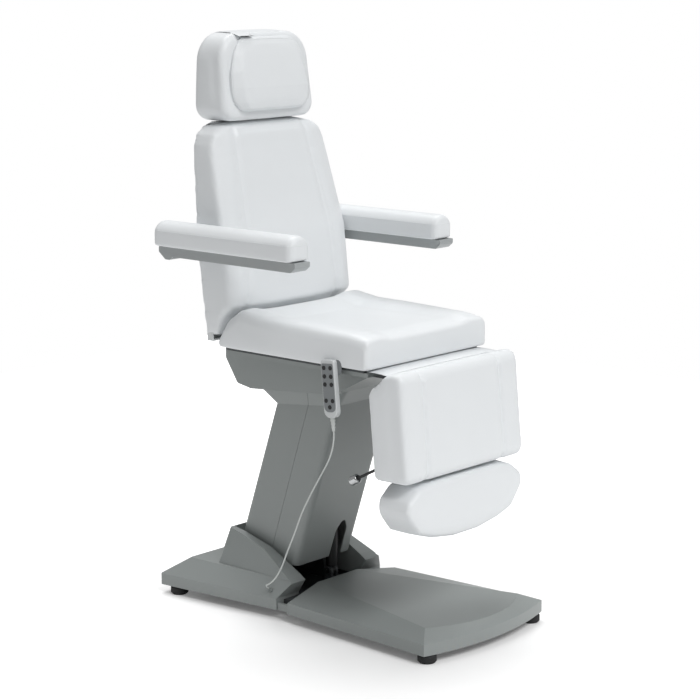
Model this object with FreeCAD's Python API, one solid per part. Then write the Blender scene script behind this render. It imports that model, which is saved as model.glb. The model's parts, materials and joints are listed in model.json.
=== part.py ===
"""Powered podiatry chair. Millimetres, +Z up, the sitter faces -Y, origin on the floor under its middle."""
import math
import os

import FreeCAD
import Part

# Base covers and frame
base_reach = 521.0
base_corner_y = 480.0
base_bottom = 25.0
base_wall_top = 58.0
cover_wall = 4.0
front_half_width = 262.0
front_waist_half_width = 234.0
front_cover_rear = 39.0
front_deck_z = 82.0
front_deck_rear = 58.0
front_deck_front = 436.0
front_deck_half_width = 205.0
front_deck_waist = 84.0
front_rim_gap = 17.0
tongue_inset = 13.0
tongue_length = 50.0
rear_waist_y = 90.0
rear_waist_half_width = 226.0
rear_half_width = 266.0
rear_deck_z = 105.0
rear_deck_front = 60.0
rear_deck_rear = 457.0
rear_deck_waist = 185.0
rear_deck_half_width = 203.0
shroud_top_z = 206.0
shroud_foot_half_width = 188.0
shroud_top_half_width = 150.0
shroud_rear = 358.0
shroud_top_rear = 346.0
shroud_opening = 131.0
shroud_edge_band = 11.0
rail_centre_x = 170.0
rail_width = 40.0
rail_height = 22.0
pan_thickness = 3.0
pan_front = 470.0
pan_rear = 475.0
cross_half_depth = 15.0
cross_half_length = 240.0
cross_height = 20.0
foot_radius = 26.0
foot_stem_radius = 6.0
foot_front_x = 230.0
foot_front_y = -465.0
foot_rear_x = 236.0
foot_rear_y = 470.0
foot_chamfer = 5.0
boss_radius = 8.0
control_size = (180.0, 74.0, 58.0)
control_front = 378.0
control_corner = 6.0
inlet_size = (50.0, 30.0, 24.0)
inlet_x = 120.0
inlet_bottom = 32.0
inlet_depth = 14.0
inlet_rim = 3.0
blade_size = (2.0, 6.0)
blade_pitch = 7.0

# Lift arm, its parallelogram and the column covers
lift_pivot = (235.0, 120.0)
lift_length = 510.0
lift_lean_deg = 18.0
link_offset = (48.0, 36.0)
pin_radius = 12.0
small_pin_radius = 8.0
running_fit = 0.05
pin_head = 3.0
pin_head_radius = 15.0
bracket_x = 95.0
plate_thickness = 8.0
arm_plate_x = 75.0
arm_half_width = 35.0
arm_tube_radius = 22.0
arm_tube_bore = 15.5
cross_tube_radius = 12.0
cross_tube_n = 20.0
carrier_plate_x = 60.0
link_half_width = 15.0
link_depth = 24.0
link_eye_radius = 17.0
collar_length = 7.0
side_clearance = 0.3
bush_flange = 3.0
bush_flange_radius = 20.0
column_half_width = 120.0
column_front_n = 115.0
column_rear_n = 110.0
column_front_foot = 42.0
column_front_knee = 560.0
column_rear_knee = 462.0
column_knee_rear_n = 104.0
head_half_width = 142.0
head_front_n = 144.5
head_rear_n = 165.4
head_front_s = 623.0
head_rear_s = 493.0
column_corner = 20.0
column_seam_n = -16.0
seam_gap = 1.0
slot_near = 22.0
slot_far = 75.0
slot_top = 171.0
column_boss_lower = 230.0
column_boss_upper = 430.0
column_boss_n = 24.0

# Lift actuator
actuator_foot = (125.0, 75.0)
actuator_x = 48.0
actuator_reach_s = 330.0
actuator_reach_n = -20.0
actuator_eye_half = 6.0
actuator_eye_radius = 14.0
actuator_pin_radius = 6.0
tube_radius = 17.0
tube_length = 235.0
rod_radius = 10.0
rod_length = 250.0
motor_radius = 18.0
motor_start = 95.0
motor_length = 120.0
motor_offset = 36.0
motor_link_length = 18.0
motor_case_radius = 20.0

# Carrier and tilt
tilt_shaft = (130.0, 722.0)
tilt_shaft_reach = 182.0
carrier_half_width = 26.0
lever_thickness = 6.0
lever_x = 150.0
lever_half_width = 8.0
tilt_lever_length = 36.0
tilt_tube_radius = 13.0
tilt_tube_start = -70.0
tilt_tube_length = 130.0
tilt_rod_radius = 6.0
small_actuator_x = 164.0
back_lever_length = 32.0
back_tube_radius = 15.0
back_tube_start = 163.0
back_tube_length = 85.0
back_rod_radius = 6.5
back_axis_z = 716.0
eye_pin_radius = 4.0

# Seat
seat_rail_x = 162.0
seat_rail_width = 20.0
seat_rail_bottom = 735.0
deck_bottom = 757.0
deck_thickness = 8.0
deck_half_width = 244.0
deck_front = -252.0
deck_rear = 258.0
hinge_z = 745.0
front_hinge_y = -290.0
rear_hinge_y = 291.0
hinge_radius = 11.5
hinge_pin_radius = 6.0
lug_x = 150.0
housing_half_width = 190.0
housing_rear = 314.0
housing_rear_z = 720.0
housing_knee = (269.0, 652.0)
housing_floor_rear = (216.0, 643.0)
housing_floor_front = (-98.0, 668.0)
housing_slope_top = (-230.0, 738.0)
housing_front = (-262.0, 745.0)
pan_half_width = 240.0
housing_pan_rear = 262.0
housing_wall = 4.0
mouth_lip = 11.0
flap_front = -318.0
flap_rear = -254.0
flap_thickness = 6.0
flap_half_width = 245.0
cushion_half_width = 260.0
seat_half_length = 275.0
seat_rear_y = 279.0
seat_rear_kick = 10.0
seat_rear_crest = 111.0
seat_rear_low = 785.0
seat_rear_mid = (244.0, 847.0)
seat_rear_top = (199.0, 876.0)
seat_middle_top = 865.0
seat_middle_hollow = 842.0
seat_front_top = 858.0
seat_front_y = -215.0
seat_front_drop = 8.0
bolster_inner = 150.0
bolster_top = 190.0

# Handset, hook and cord
handset_x = 262.3
handset_thick = 15.0
handset_y = -150.0
handset_half_width = 23.5
handset_bottom = 627.0
handset_top = 785.0
handset_corner = 9.0
handset_foot_corner = 19.0
handset_lean_deg = 5.5
face_half_width = 20.5
face_bottom = 643.0
face_top = 775.0
face_thick = 1.6
face_seat = 1.0
button_radius = 5.7
button_pitch = 11.5
button_height = 3.2
button_travel = 1.0
button_gap = 0.25
button_rows = (763.0, 740.0, 718.0, 674.0)
button_last_row = 656.5
bracket_front = -189.0
bracket_rear = -136.0
bracket_top = 786.0
bracket_thick = 1.8
bracket_tab = 3.0
bracket_corner = 14.0
peg_radius = 3.0
peg_length = 4.0
peg_heights = (764.0, 776.0)
cord_radius = 2.25
cord_x = 269.8
relief_length = 37.0
relief_top_radius = 6.5
relief_foot_radius = 4.0
gland_centre = (214.0, 122.0, 75.0)
gland_radius = 8.0
gland_length = 12.0

# Backrest and headrest
back_low = (332.0, 800.0)
back_high = (397.0, 1310.0)
shell_depth = 30.0
shell_wall = 4.0
shell_inset = 3.0
shell_bottom = 778.0
back_top = 1383.0
back_foot_half_width = 258.0
back_top_half_width = 215.0
shoulder_radius = 60.0
back_front_low = (282.0, 792.0)
back_front_wedge = (256.0, 846.0)
back_front_chin = (220.0, 880.0)
back_front_mid = (240.0, 1072.0)
back_front_high = (297.0, 1291.0)
back_channel_low = 190.0
back_channel_top = 140.0
channel_depth = 9.0
channel_width = 9.0
upright_width = 20.0
upright_depth = 16.0
armrest_pivot = (395.0, 1025.0)
bracket_inner_x = 213.0
bracket_outer_x = 228.0
armrest_pin_radius = 8.0
armrest_pin_end = 300.0
head_bar_x = 70.0
head_bar_radius = 7.0
head_guide_radius = 10.5
head_guide_length = 150.0
head_bar_length = 300.0
head_hinge_z = 1478.0
head_hinge_radius = 10.0
head_bottom = 1387.0
head_top = 1632.0
headrest_half_width = 189.0
headrest_top_half_width = 177.0
headrest_front = 318.0
headrest_rear = 436.0
headrest_corner = 80.0
headrest_foot_corner = 44.0
headrest_crown = 14.0
head_notch_x = 95.0
head_notch_y = 372.0
head_notch_z = 1505.0
head_plate_thick = 6.0
head_plate_half_width = 140.0
head_plate_top = 1600.0
head_hinge_half = 40.0
pillow_bottom = 1415.0
pillow_top = 1620.0
pillow_levels = (1415.0, 1421.0, 1440.0, 1480.0, 1525.0, 1570.0, 1600.0, 1620.0)
pillow_half_widths = (136.0, 147.0, 156.0, 159.0, 156.0, 142.0, 126.0, 104.0)
pillow_fronts = (303.0, 292.0, 285.0, 284.0, 289.0, 297.0, 304.0, 311.0)
pillow_side_front = 306.0
pillow_rim_step = 2.0
pillow_crown = 20.0
strap_near = 50.0
strap_far = 123.0
strap_thick = 2.0
strap_tail_z = 1560.0

# Armrests
pad_inner = 264.0
pad_outer = 344.0
pad_front = -82.0
pad_rear = 448.0
pad_crease = 1090.0
pad_crown = 1115.0
pad_end_length = 16.0
rail_inner = 276.0
rail_outer = 335.0
rail_top = 1044.5
rail_bottom = 1018.0
rail_front = -90.0
rail_end = 430.0
rail_step = 378.0

# Legrest and footrest
leg_half_width = 255.0
leg_rear_top = (-274.0, 727.0)
leg_rear_foot = (-297.0, 472.0)
leg_front_top = (-388.0, 775.0)
leg_front_foot = (-417.0, 472.0)
leg_slope_mid = (-327.0, 761.0)
leg_scallop = 36.5
leg_channel_x = 165.0
leg_side_draw = 12.0
leg_pocket_depth = 40.0
leg_pocket_half_width = 240.0
leg_pocket_top = 712.0
leg_board_thick = 12.0
leg_board_drop = 22.0
guide_x = 120.0
guide_radius = 11.0
slider_radius = 8.0
slider_length = 190.0
guide_length = 215.0
foot_half_width = 250.0
foot_top = 465.0
foot_end_top = 415.0
foot_bottoms = (298.0, 303.0, 330.0, 388.0)
foot_bottom_xs = (0.0, 108.0, 200.0, 248.0)
foot_front_y_top = -417.0
foot_rear_y_top = -304.0
foot_draw = 12.0
foot_corner = 15.0
foot_pocket_depth = 30.0
lever_rod_radius = 4.0
release_x = 229.0
release_pivot = (-302.0, 506.0)
release_end = (-222.0, 463.0)
release_hub_radius = 7.0
release_pin_radius = 3.0
knob_radius = 13.0
knob_length = 30.0

overrun = 40.0
touch_fit = 0.01


def vec(x, y, z):
    return FreeCAD.Vector(x, y, z)


def save(shape, name):
    """Write one sub-part."""
    shape.exportStep("parts/" + name + ".step")


def join(shapes):
    """One solid from pieces that touch or overlap."""
    shape = shapes[0].fuse(list(shapes[1:])) if len(shapes) > 1 else shapes[0]
    shape = shape.removeSplitter()
    return shape.Solids[0] if len(shape.Solids) == 1 else shape


def group(shapes):
    """Separate solids kept together as one sub-part."""
    return Part.makeCompound(shapes)


def block(x0, x1, y0, y1, z0, z1):
    """Box between two values on each axis."""
    return Part.makeBox(x1 - x0, y1 - y0, z1 - z0, vec(x0, y0, z0))


def rod_between(start, end, radius):
    """Round bar from one point to another."""
    line = end - start
    return Part.makeCylinder(radius, line.Length, start, line)


def bar_x(place, radius, x0, x1):
    """Round bar along X through a (y, z) place."""
    return Part.makeCylinder(radius, x1 - x0, vec(x0, place[0], place[1]), vec(1, 0, 0))


def tube_x(place, radius, bore, x0, x1):
    """Ring along X."""
    return bar_x(place, radius, x0, x1).cut(bar_x(place, bore, x0, x1))


def both(shape):
    """The shape and its mirror image across the middle plane."""
    return [shape, shape.mirror(vec(0, 0, 0), vec(1, 0, 0))]


def rounded_wire(corners, radii, place):
    """Closed wire through 2-D corners, each rounded by its radius; place turns (a, b) into a point."""
    points = [vec(a, b, 0) for a, b in corners]
    entries, middles, exits = [], [], []
    for index, point in enumerate(points):
        back = points[index - 1] - point
        ahead = points[(index + 1) % len(points)] - point
        back.normalize()
        ahead.normalize()
        half = back.getAngle(ahead) / 2
        cut = radii[index] / math.tan(half)
        inward = back + ahead
        inward.normalize()
        entries.append(point + back * cut)
        exits.append(point + ahead * cut)
        middles.append(point + inward * (radii[index] / math.sin(half) - radii[index]))
    edges = []
    for index in range(len(points)):
        spots = [entries[index], middles[index], exits[index], entries[(index + 1) % len(points)]]
        start, middle, end, after = [place(spot.x, spot.y) for spot in spots]
        if radii[index] > 0:
            edges.append(Part.Arc(start, middle, end).toShape())
        if (after - end).Length > touch_fit:
            edges.append(Part.LineSegment(end, after).toShape())
    return Part.Wire(edges)


def side_wire(corners, radii, x):
    return rounded_wire(corners, radii, lambda y, z: vec(x, y, z))


def side_plate(corners, radii, x0, x1):
    """Plate with a (y, z) outline between two X values."""
    return Part.Face(side_wire(corners, radii, x0)).extrude(vec(x1 - x0, 0, 0))


def flat_plate(corners, radii, z0, z1):
    """Plate with an (x, y) outline between two heights."""
    wire = rounded_wire(corners, radii, lambda x, y: vec(x, y, z0))
    return Part.Face(wire).extrude(vec(0, 0, z1 - z0))


def loft(wires):
    return Part.makeLoft(wires, True, True)


def hull_plate(places, radius, x0, x1):
    """Link plate round two (y, z) places."""
    start, end = [vec(0, y, z) for y, z in places]
    line = end - start
    side = vec(1, 0, 0).cross(line)
    side.normalize()
    corners = [start + side * radius, end + side * radius, end - side * radius, start - side * radius]
    body = side_plate([(corner.y, corner.z) for corner in corners], [0] * 4, x0, x1)
    return join([body, bar_x(places[0], radius, x0, x1), bar_x(places[1], radius, x0, x1)])


def along_arm(n, s):
    """World (y, z) of a place n behind the arm's line and s along it."""
    lean = math.radians(lift_lean_deg)
    y = lift_pivot[0] + n * math.cos(lean) - s * math.sin(lean)
    z = lift_pivot[1] + n * math.sin(lean) + s * math.cos(lean)
    return (y, z)


top_pivot = along_arm(0, lift_length)
link_foot = (lift_pivot[0] + link_offset[0], lift_pivot[1] + link_offset[1])
link_head = (top_pivot[0] + link_offset[0], top_pivot[1] + link_offset[1])
arm_plate_end = arm_plate_x + plate_thickness
carrier_plate_end = carrier_plate_x + plate_thickness
bracket_end = bracket_x + plate_thickness
pan_top = base_bottom + pan_thickness
deck_top = deck_bottom + deck_thickness
seat_rail_end = seat_rail_x + seat_rail_width
front_hinge = (front_hinge_y, hinge_z)
rear_hinge = (rear_hinge_y, hinge_z)
face_inset = handset_half_width - face_half_width


def plan_wire(points, z, inset, front_bow):
    """Base outline at one height: straight sides and rear, with a bowed front edge."""
    (rear_x, rear_y), (front_x, front_y) = points
    right_rear, left_rear = vec(rear_x - inset, rear_y, z), vec(inset - rear_x, rear_y, z)
    right_front, left_front = vec(front_x - inset, front_y, z), vec(inset - front_x, front_y, z)
    bow = Part.Arc(left_front, vec(0, front_y - front_bow, z), right_front).toShape()
    sides = [(right_front, right_rear), (right_rear, left_rear), (left_rear, left_front)]
    return Part.Wire([bow] + [Part.LineSegment(start, end).toShape() for start, end in sides])


def front_cover_form(inset, drop, rear_extra):
    """Filled outer form of the front cover, or the form inside its wall."""
    bow = base_reach - base_corner_y
    foot = [(front_waist_half_width, front_cover_rear + rear_extra), (front_half_width, inset - base_corner_y)]
    deck = [(front_deck_waist, front_deck_rear + rear_extra), (front_deck_half_width, -front_deck_front)]
    deck_bow = base_reach - front_rim_gap - front_deck_front
    low = plan_wire(foot, base_bottom - inset, inset, bow)
    rim = plan_wire(foot, base_wall_top - drop, inset, bow)
    top = plan_wire(deck, front_deck_z - drop, 0, deck_bow - inset)
    return join([loft([low, rim]), loft([rim, top])])


def front_cover():
    outer = front_cover_form(0, 0, 0)
    inner = front_cover_form(cover_wall, cover_wall, overrun)
    bosses = []
    for x in (rail_centre_x, -rail_centre_x):
        for y in (front_cover_rear - rail_width, -front_deck_front + rail_width):
            boss = rod_between(vec(x, y, base_bottom + rail_height + pan_thickness), vec(x, y, front_deck_z),
                               boss_radius)
            bosses.append(boss.common(outer))
    shell = outer.cut(inner)
    tongue = front_cover_form(tongue_inset, tongue_inset, tongue_length)
    tongue = tongue.cut(front_cover_form(tongue_inset + cover_wall, tongue_inset + cover_wall, overrun * 2))
    clear_middle = block(-front_waist_half_width + overrun / 2, front_waist_half_width - overrun / 2,
                         front_cover_rear - cover_wall * 3, base_reach, 0, rear_deck_z)
    tongue = tongue.common(block(-front_half_width, front_half_width, front_cover_rear - cover_wall * 2,
                                 base_reach, base_bottom, base_wall_top)).cut(clear_middle)
    corner = block(-front_half_width, front_half_width, front_cover_rear - cover_wall * 2,
                   front_cover_rear, base_bottom, front_deck_z)
    bridge = outer.common(corner).cut(front_cover_form(tongue_inset + cover_wall, tongue_inset + cover_wall,
                                                       overrun * 2))
    bridge = bridge.cut(clear_middle)
    return join([shell, tongue, bridge] + bosses)


def rear_plan(front, rear, z, inset):
    """Four-sided outline of the rear cover at one height."""
    (front_x, front_y), (rear_x, rear_y) = front, rear
    corners = [(inset - front_x, front_y + inset), (front_x - inset, front_y + inset),
               (rear_x - inset, rear_y - inset), (inset - rear_x, rear_y - inset)]
    return rounded_wire(corners, [0, 0, boss_radius, boss_radius], lambda x, y: vec(x, y, z))


def rear_cover_form(inset, drop):
    """Filled outer form of the rear cover with its column shroud, or the form inside its wall."""
    foot = [(rear_waist_half_width, rear_waist_y), (rear_half_width, base_reach)]
    deck = [(rear_deck_waist, rear_deck_front), (rear_deck_half_width, rear_deck_rear)]
    low = rear_plan(*foot, base_bottom - drop, inset)
    rim = rear_plan(*foot, base_wall_top - drop / 2, inset)
    top = rear_plan(*deck, rear_deck_z - drop, inset)
    shroud_low = rear_plan((shroud_foot_half_width, rear_deck_front), (shroud_foot_half_width, shroud_rear),
                           rear_deck_z - drop, inset)
    shroud_top = rear_plan((shroud_top_half_width, rear_deck_front), (shroud_top_half_width, shroud_top_rear),
                           shroud_top_z - drop, inset)
    body = join([loft([low, rim]), loft([rim, top]), loft([shroud_low, shroud_top])])
    return body.cut(cheek_trim(drop))


def cheek_trim(drop):
    """What is cut away above the cheeks' long sloping edge."""
    edge = [(y, z - drop) for y, z in cheek_edge()]
    first, last = edge[0], edge[-1]
    corners = [(first[0] - overrun, first[1])] + edge + [(last[0] + overrun, last[1])]
    corners += [(last[0] + overrun, shroud_top_z * 2), (first[0] - overrun, shroud_top_z * 2)]
    half_width = shroud_foot_half_width + overrun
    return side_plate(corners, [0] * len(corners), -half_width, half_width)


def cheek_edge():
    """Side view of the cheeks' top edge, as places between the deck's front and the shroud's top."""
    length = shroud_top_rear - rear_deck_front
    height = shroud_top_z - rear_deck_z
    edge_shares = ((0.0, -0.09), (0.03, -0.03), (0.09, 0.08), (0.47, 0.645), (0.835, 0.92), (1.0, 1.0))
    return [(rear_deck_front + a * length, rear_deck_z + b * height) for a, b in edge_shares]


def rear_cover():
    outer = rear_cover_form(0, 0)
    inner = rear_cover_form(cover_wall, cover_wall)
    well = block(-shroud_opening, shroud_opening, 0, shroud_top_rear, 0, shroud_top_z * 2)
    well_wall = block(-shroud_opening - cover_wall, shroud_opening + cover_wall, 0, shroud_top_rear + cover_wall,
                      0, shroud_top_z * 2)
    clear_x = rail_centre_x + rail_width / 2 + housing_wall
    chassis = block(-clear_x, clear_x, 0, base_reach - cover_wall * 2, 0,
                    base_bottom + pan_thickness + rail_height + side_clearance)
    shell = outer.cut(well).cut(inner.cut(well_wall)).cut(chassis)
    bosses = []
    for x in (rail_centre_x, -rail_centre_x):
        for y in (rear_waist_y + rail_width, rear_deck_rear - rail_width):
            boss = rod_between(vec(x, y, base_bottom + rail_height + pan_thickness), vec(x, y, shroud_top_z),
                               boss_radius)
            bosses.append(boss.common(outer))
    width, depth, height = inlet_size
    hole = block(inlet_x - width / 2, inlet_x + width / 2, base_reach - overrun, base_reach + overrun,
                 inlet_bottom, inlet_bottom + height)
    gland_hole = gland_bar(gland_radius, -overrun, overrun / 2)
    return join([shell.cut(hole).cut(gland_hole)] + bosses)


def base_frame():
    """Welded chassis: long rails, end members, floor pan and the pivot brackets."""
    rail_low = pan_top
    rail_high = pan_top + rail_height
    rail_inner_x = rail_centre_x - rail_width / 2
    rail_outer_x = rail_centre_x + rail_width / 2
    pieces = [block(-rail_outer_x, rail_outer_x, -pan_front, pan_rear, base_bottom, pan_top)]
    pieces += both(block(rail_inner_x, rail_outer_x, -pan_front, pan_rear, rail_low, rail_high))
    for y in (foot_front_y, foot_rear_y):
        pieces.append(block(-cross_half_length, cross_half_length, y - cross_half_depth, y + cross_half_depth,
                            base_bottom, base_bottom + cross_height))
    span = [(lift_pivot[0] - arm_half_width * 1.4, pan_top), (link_foot[0] + arm_half_width * 1.2, pan_top),
            (link_foot[0] + link_eye_radius, link_foot[1]), (link_foot[0], link_foot[1] + link_eye_radius),
            (lift_pivot[0] - arm_half_width / 2, lift_pivot[1] + arm_half_width)]
    bracket = side_plate(span, [0, 0, boss_radius, boss_radius, boss_radius], bracket_x, bracket_end)
    pieces += both(bracket)
    lug_inner = actuator_x - actuator_eye_half - side_clearance - plate_thickness
    lug_outer = actuator_x + actuator_eye_half + side_clearance
    for x in (lug_inner, lug_outer):
        lug = block(x, x + plate_thickness, actuator_foot[0] - actuator_eye_radius,
                    actuator_foot[0] + actuator_eye_radius, pan_top, actuator_foot[1])
        pieces += [lug, bar_x(actuator_foot, actuator_eye_radius, x, x + plate_thickness)]
    frame = join(pieces)
    for place, radius in ((lift_pivot, pin_radius), (link_foot, small_pin_radius), (actuator_foot, actuator_pin_radius)):
        frame = frame.cut(bar_x(place, radius, -bracket_end, bracket_end))
    for x, y in foot_places():
        frame = frame.cut(rod_between(vec(x, y, 0), vec(x, y, overrun * 2), foot_stem_radius))
    return frame


def foot_places():
    return [(foot_front_x, foot_front_y), (-foot_front_x, foot_front_y),
            (foot_rear_x, foot_rear_y), (-foot_rear_x, foot_rear_y)]


def levelling_feet():
    """Four round pads, each with its threaded stem screwed up into the frame."""
    feet = []
    for x, y in foot_places():
        pad = Part.makeCylinder(foot_radius, base_bottom, vec(x, y, 0))
        pad = pad.makeChamfer(foot_chamfer, [pad.Edges[0], pad.Edges[2]])
        stem = rod_between(vec(x, y, base_bottom - foot_chamfer), vec(x, y, base_bottom + cross_height), foot_stem_radius)
        feet.append(join([pad, stem]))
    return group(feet)


def control_box():
    width, depth, height = control_size
    box = block(-width / 2, width / 2, control_front, control_front + depth, pan_top, pan_top + height)
    return box.makeFillet(control_corner, [edge for edge in box.Edges if upright(edge)])


def upright(edge):
    line = edge.Vertexes[-1].Point - edge.Vertexes[0].Point
    return abs(line.x) + abs(line.y) < touch_fit


def mains_inlet():
    """Appliance inlet set flush in the rear wall, with three flat pins in its well."""
    width, depth, height = inlet_size
    rear = base_reach
    body = block(inlet_x - width / 2, inlet_x + width / 2, rear - depth, rear, inlet_bottom, inlet_bottom + height)
    well = block(inlet_x - width / 2 + inlet_rim, inlet_x + width / 2 - inlet_rim, rear - inlet_depth, rear,
                 inlet_bottom + inlet_rim, inlet_bottom + height - inlet_rim)
    pins = []
    thick, tall = blade_size
    middle_z = inlet_bottom + height / 2
    for step in (-1, 0, 1):
        x = inlet_x + step * blade_pitch
        pins.append(block(x - thick / 2, x + thick / 2, rear - depth / 2, rear - inlet_rim,
                          middle_z - tall / 2, middle_z + tall / 2))
    return join([body.cut(well)] + [pin for pin in pins])


def base_pins():
    """Main pivot pin, tie-link pin with its collars, and the actuator's foot pin."""
    reach = bracket_end + touch_fit
    main = join([bar_x(lift_pivot, pin_radius, -reach, reach)]
                + both(bar_x(lift_pivot, pin_head_radius, bracket_end, bracket_end + pin_head)))
    link = join([bar_x(link_foot, small_pin_radius, -reach, reach)]
                + both(bar_x(link_foot, pin_radius, bracket_end, bracket_end + pin_head))
                + both(bar_x(link_foot, pin_radius, link_half_width + side_clearance,
                             link_half_width + side_clearance + collar_length)))
    lug_reach = actuator_eye_half + side_clearance + plate_thickness
    foot = join([bar_x(actuator_foot, actuator_pin_radius, actuator_x - lug_reach, actuator_x + lug_reach),
                 bar_x(actuator_foot, boss_radius, actuator_x - lug_reach - pin_head, actuator_x - lug_reach),
                 bar_x(actuator_foot, boss_radius, actuator_x + lug_reach, actuator_x + lug_reach + pin_head)])
    return group([main, link, foot])


def arm_line(shape):
    """Place a shape modelled with Y behind the arm and Z along it."""
    placed = shape.copy()
    placed.rotate(vec(0, 0, 0), vec(1, 0, 0), lift_lean_deg)
    placed.translate(vec(0, lift_pivot[0], lift_pivot[1]))
    return placed


def lift_arm():
    """Two side plates joined by the pivot tube and cross tubes, with the actuator's upper boss."""
    plate = hull_plate([(0, 0), (0, lift_length)], arm_half_width, arm_plate_x, arm_plate_end)
    pieces = both(plate)
    pieces.append(bar_x((0, 0), arm_tube_radius, -bracket_x + side_clearance, bracket_x - side_clearance))
    for share in (0.3, 0.5, 0.8):
        pieces.append(bar_x((cross_tube_n, lift_length * share), cross_tube_radius, -arm_plate_x, arm_plate_x))
    eye_end = actuator_x + actuator_eye_half + side_clearance * 2
    pieces.append(bar_x((actuator_reach_n, actuator_reach_s), actuator_eye_radius, eye_end, arm_plate_x))
    arm = join(pieces)
    for place in ((0, 0), (0, lift_length)):
        arm = arm.cut(bar_x(place, arm_tube_bore, -bracket_x, bracket_x))
    return arm_line(arm)


def arm_bushes():
    """Flanged bushes in the arm's plates, two on each main pin."""
    bushes = []
    for s in (0, lift_length):
        inner, outer = arm_plate_x, arm_plate_end
        bore = pin_radius + running_fit
        sleeve = tube_x((0, s), arm_tube_bore, bore, inner, outer)
        if s:
            sleeve = join([sleeve, tube_x((0, s), bush_flange_radius, bore, inner - bush_flange, inner)])
        bushes += both(sleeve)
    return group([arm_line(bush) for bush in bushes])


def column_wire(front, rear, half_width, radius):
    """Rounded four-sided section of the column between a front and a rear (n, s) place."""
    start, end = vec(0, *front), vec(0, *rear)
    line = end - start
    depth = line.Length
    line.normalize()
    corners = [(-half_width, 0), (half_width, 0), (half_width, depth), (-half_width, depth)]
    return rounded_wire(corners, [radius] * 4, lambda x, d: start + line * d + vec(x, 0, 0))


def column_form(inset, extra):
    """Filled form of the column, with its flared head, in the arm's own line."""
    knee_front = (inset - column_front_n, column_front_knee)
    knee_rear = (column_knee_rear_n - inset, column_rear_knee)
    head_front = (inset - head_front_n, head_front_s)
    head_rear = (head_rear_n - inset, head_rear_s)
    foot_front = (inset - column_front_n, column_front_foot - extra)
    foot_rear = (column_rear_n - inset, -extra)
    side = column_half_width - inset
    head_side = head_half_width - inset
    corner = column_corner - inset
    wires = [column_wire(foot_front, foot_rear, side, corner), column_wire(knee_front, knee_rear, side, corner),
             column_wire(head_front, head_rear, head_side, corner)]
    body = [loft(wires[:2]), loft(wires[1:])]
    if extra:
        lid_front = (head_front[0], head_front[1] + extra)
        lid_rear = (head_rear[0], head_rear[1] + extra)
        body.append(loft([wires[2], column_wire(lid_front, lid_rear, head_side, corner)]))
    return join(body)


def column_shell():
    shell = column_form(0, 0).cut(column_form(cover_wall, overrun))
    middle = (slot_near + slot_far) / 2
    half = (slot_far - slot_near) / 2
    corners = [(middle - half, 0), (middle + half, 0), (middle + half * 0.9, slot_top * 0.75),
               (middle, slot_top), (middle - half * 0.9, slot_top * 0.75)]
    wire = rounded_wire(corners, [0, 0, half, half / 2, half], lambda x, s: vec(x, -column_front_n - overrun, s))
    slot = Part.Face(wire).extrude(vec(0, overrun * 2, 0))
    return shell.cut(slot)


def column_cover(front):
    """One half of the moulded column, split along its side seam, with bosses screwed to the arm."""
    sign = -1 if front else 1
    edge = column_seam_n + sign * seam_gap / 2
    far = sign * (head_rear_n + overrun)
    low, high = sorted((edge, far))
    region = block(-head_half_width - overrun, head_half_width + overrun, low, high, -overrun, head_front_s + overrun)
    half = column_shell().common(region)
    boss_n = edge + sign * (boss_radius + seam_gap)
    bosses = []
    for s in (column_boss_lower, column_boss_upper):
        bosses += both(bar_x((boss_n, s), boss_radius, arm_plate_end, column_half_width - cover_wall / 2))
    return arm_line(join([half] + bosses))


def tie_link():
    """Upper link that keeps the seat level."""
    bar = hull_plate([link_foot, link_head], link_depth / 2, -link_half_width, link_half_width)
    link = join([bar, bar_x(link_foot, link_eye_radius, -link_half_width, link_half_width),
                 bar_x(link_head, link_eye_radius, -link_half_width, link_half_width)])
    for place in (link_foot, link_head):
        link = link.cut(bar_x(place, small_pin_radius + running_fit, -link_half_width, link_half_width))
    return link


def actuator_points():
    start = vec(actuator_x, *actuator_foot)
    end = vec(actuator_x, *along_arm(actuator_reach_n, actuator_reach_s))
    line = end - start
    reach = line.Length
    line.normalize()
    return start, end, line, reach


def flat_neck(start, end):
    """Round neck milled down to the thickness of the actuator's eyes."""
    neck = rod_between(start, end, actuator_eye_radius * 0.7)
    low, high = actuator_x - actuator_eye_half, actuator_x + actuator_eye_half
    return neck.common(block(low, high, -base_reach, base_reach, 0, head_top))


def lift_actuator():
    """Actuator tube with its foot eye, and the motor beside it on a gear case."""
    start, end, line, reach = actuator_points()
    eye = bar_x(actuator_foot, actuator_eye_radius, actuator_x - actuator_eye_half, actuator_x + actuator_eye_half)
    barrel = rod_between(start + line * (actuator_eye_radius * 1.15), start + line * tube_length, tube_radius)
    side = vec(-motor_offset, 0, 0)
    motor = rod_between(start + side + line * motor_start, start + side + line * (motor_start + motor_length), motor_radius)
    case_low = start + line * (motor_start + motor_length)
    case = [rod_between(point, point + line * motor_link_length, motor_case_radius)
            for point in (case_low, case_low + side)]
    neck = flat_neck(start + line * (actuator_eye_radius * 0.8), start + line * (actuator_eye_radius * 1.4))
    body = join([barrel, eye, neck, motor] + case)
    body = body.cut(rod_between(start + line * (actuator_eye_radius * 1.5), end, rod_radius + running_fit))
    return body.cut(bar_x(actuator_foot, actuator_pin_radius + running_fit, actuator_x - tube_radius,
                          actuator_x + tube_radius))


def lift_actuator_rod():
    start, end, line, reach = actuator_points()
    place = along_arm(actuator_reach_n, actuator_reach_s)
    eye = bar_x(place, actuator_eye_radius, actuator_x - actuator_eye_half, actuator_x + actuator_eye_half)
    shoulder = end - line * (actuator_eye_radius * 1.15)
    rod = rod_between(end - line * rod_length, shoulder, rod_radius)
    neck = flat_neck(shoulder - line * rod_radius, end - line * (actuator_eye_radius * 0.8))
    body = join([rod, neck, eye])
    return body.cut(bar_x(place, actuator_pin_radius, actuator_x - actuator_eye_half * 2, actuator_x + actuator_eye_half * 2))


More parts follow.
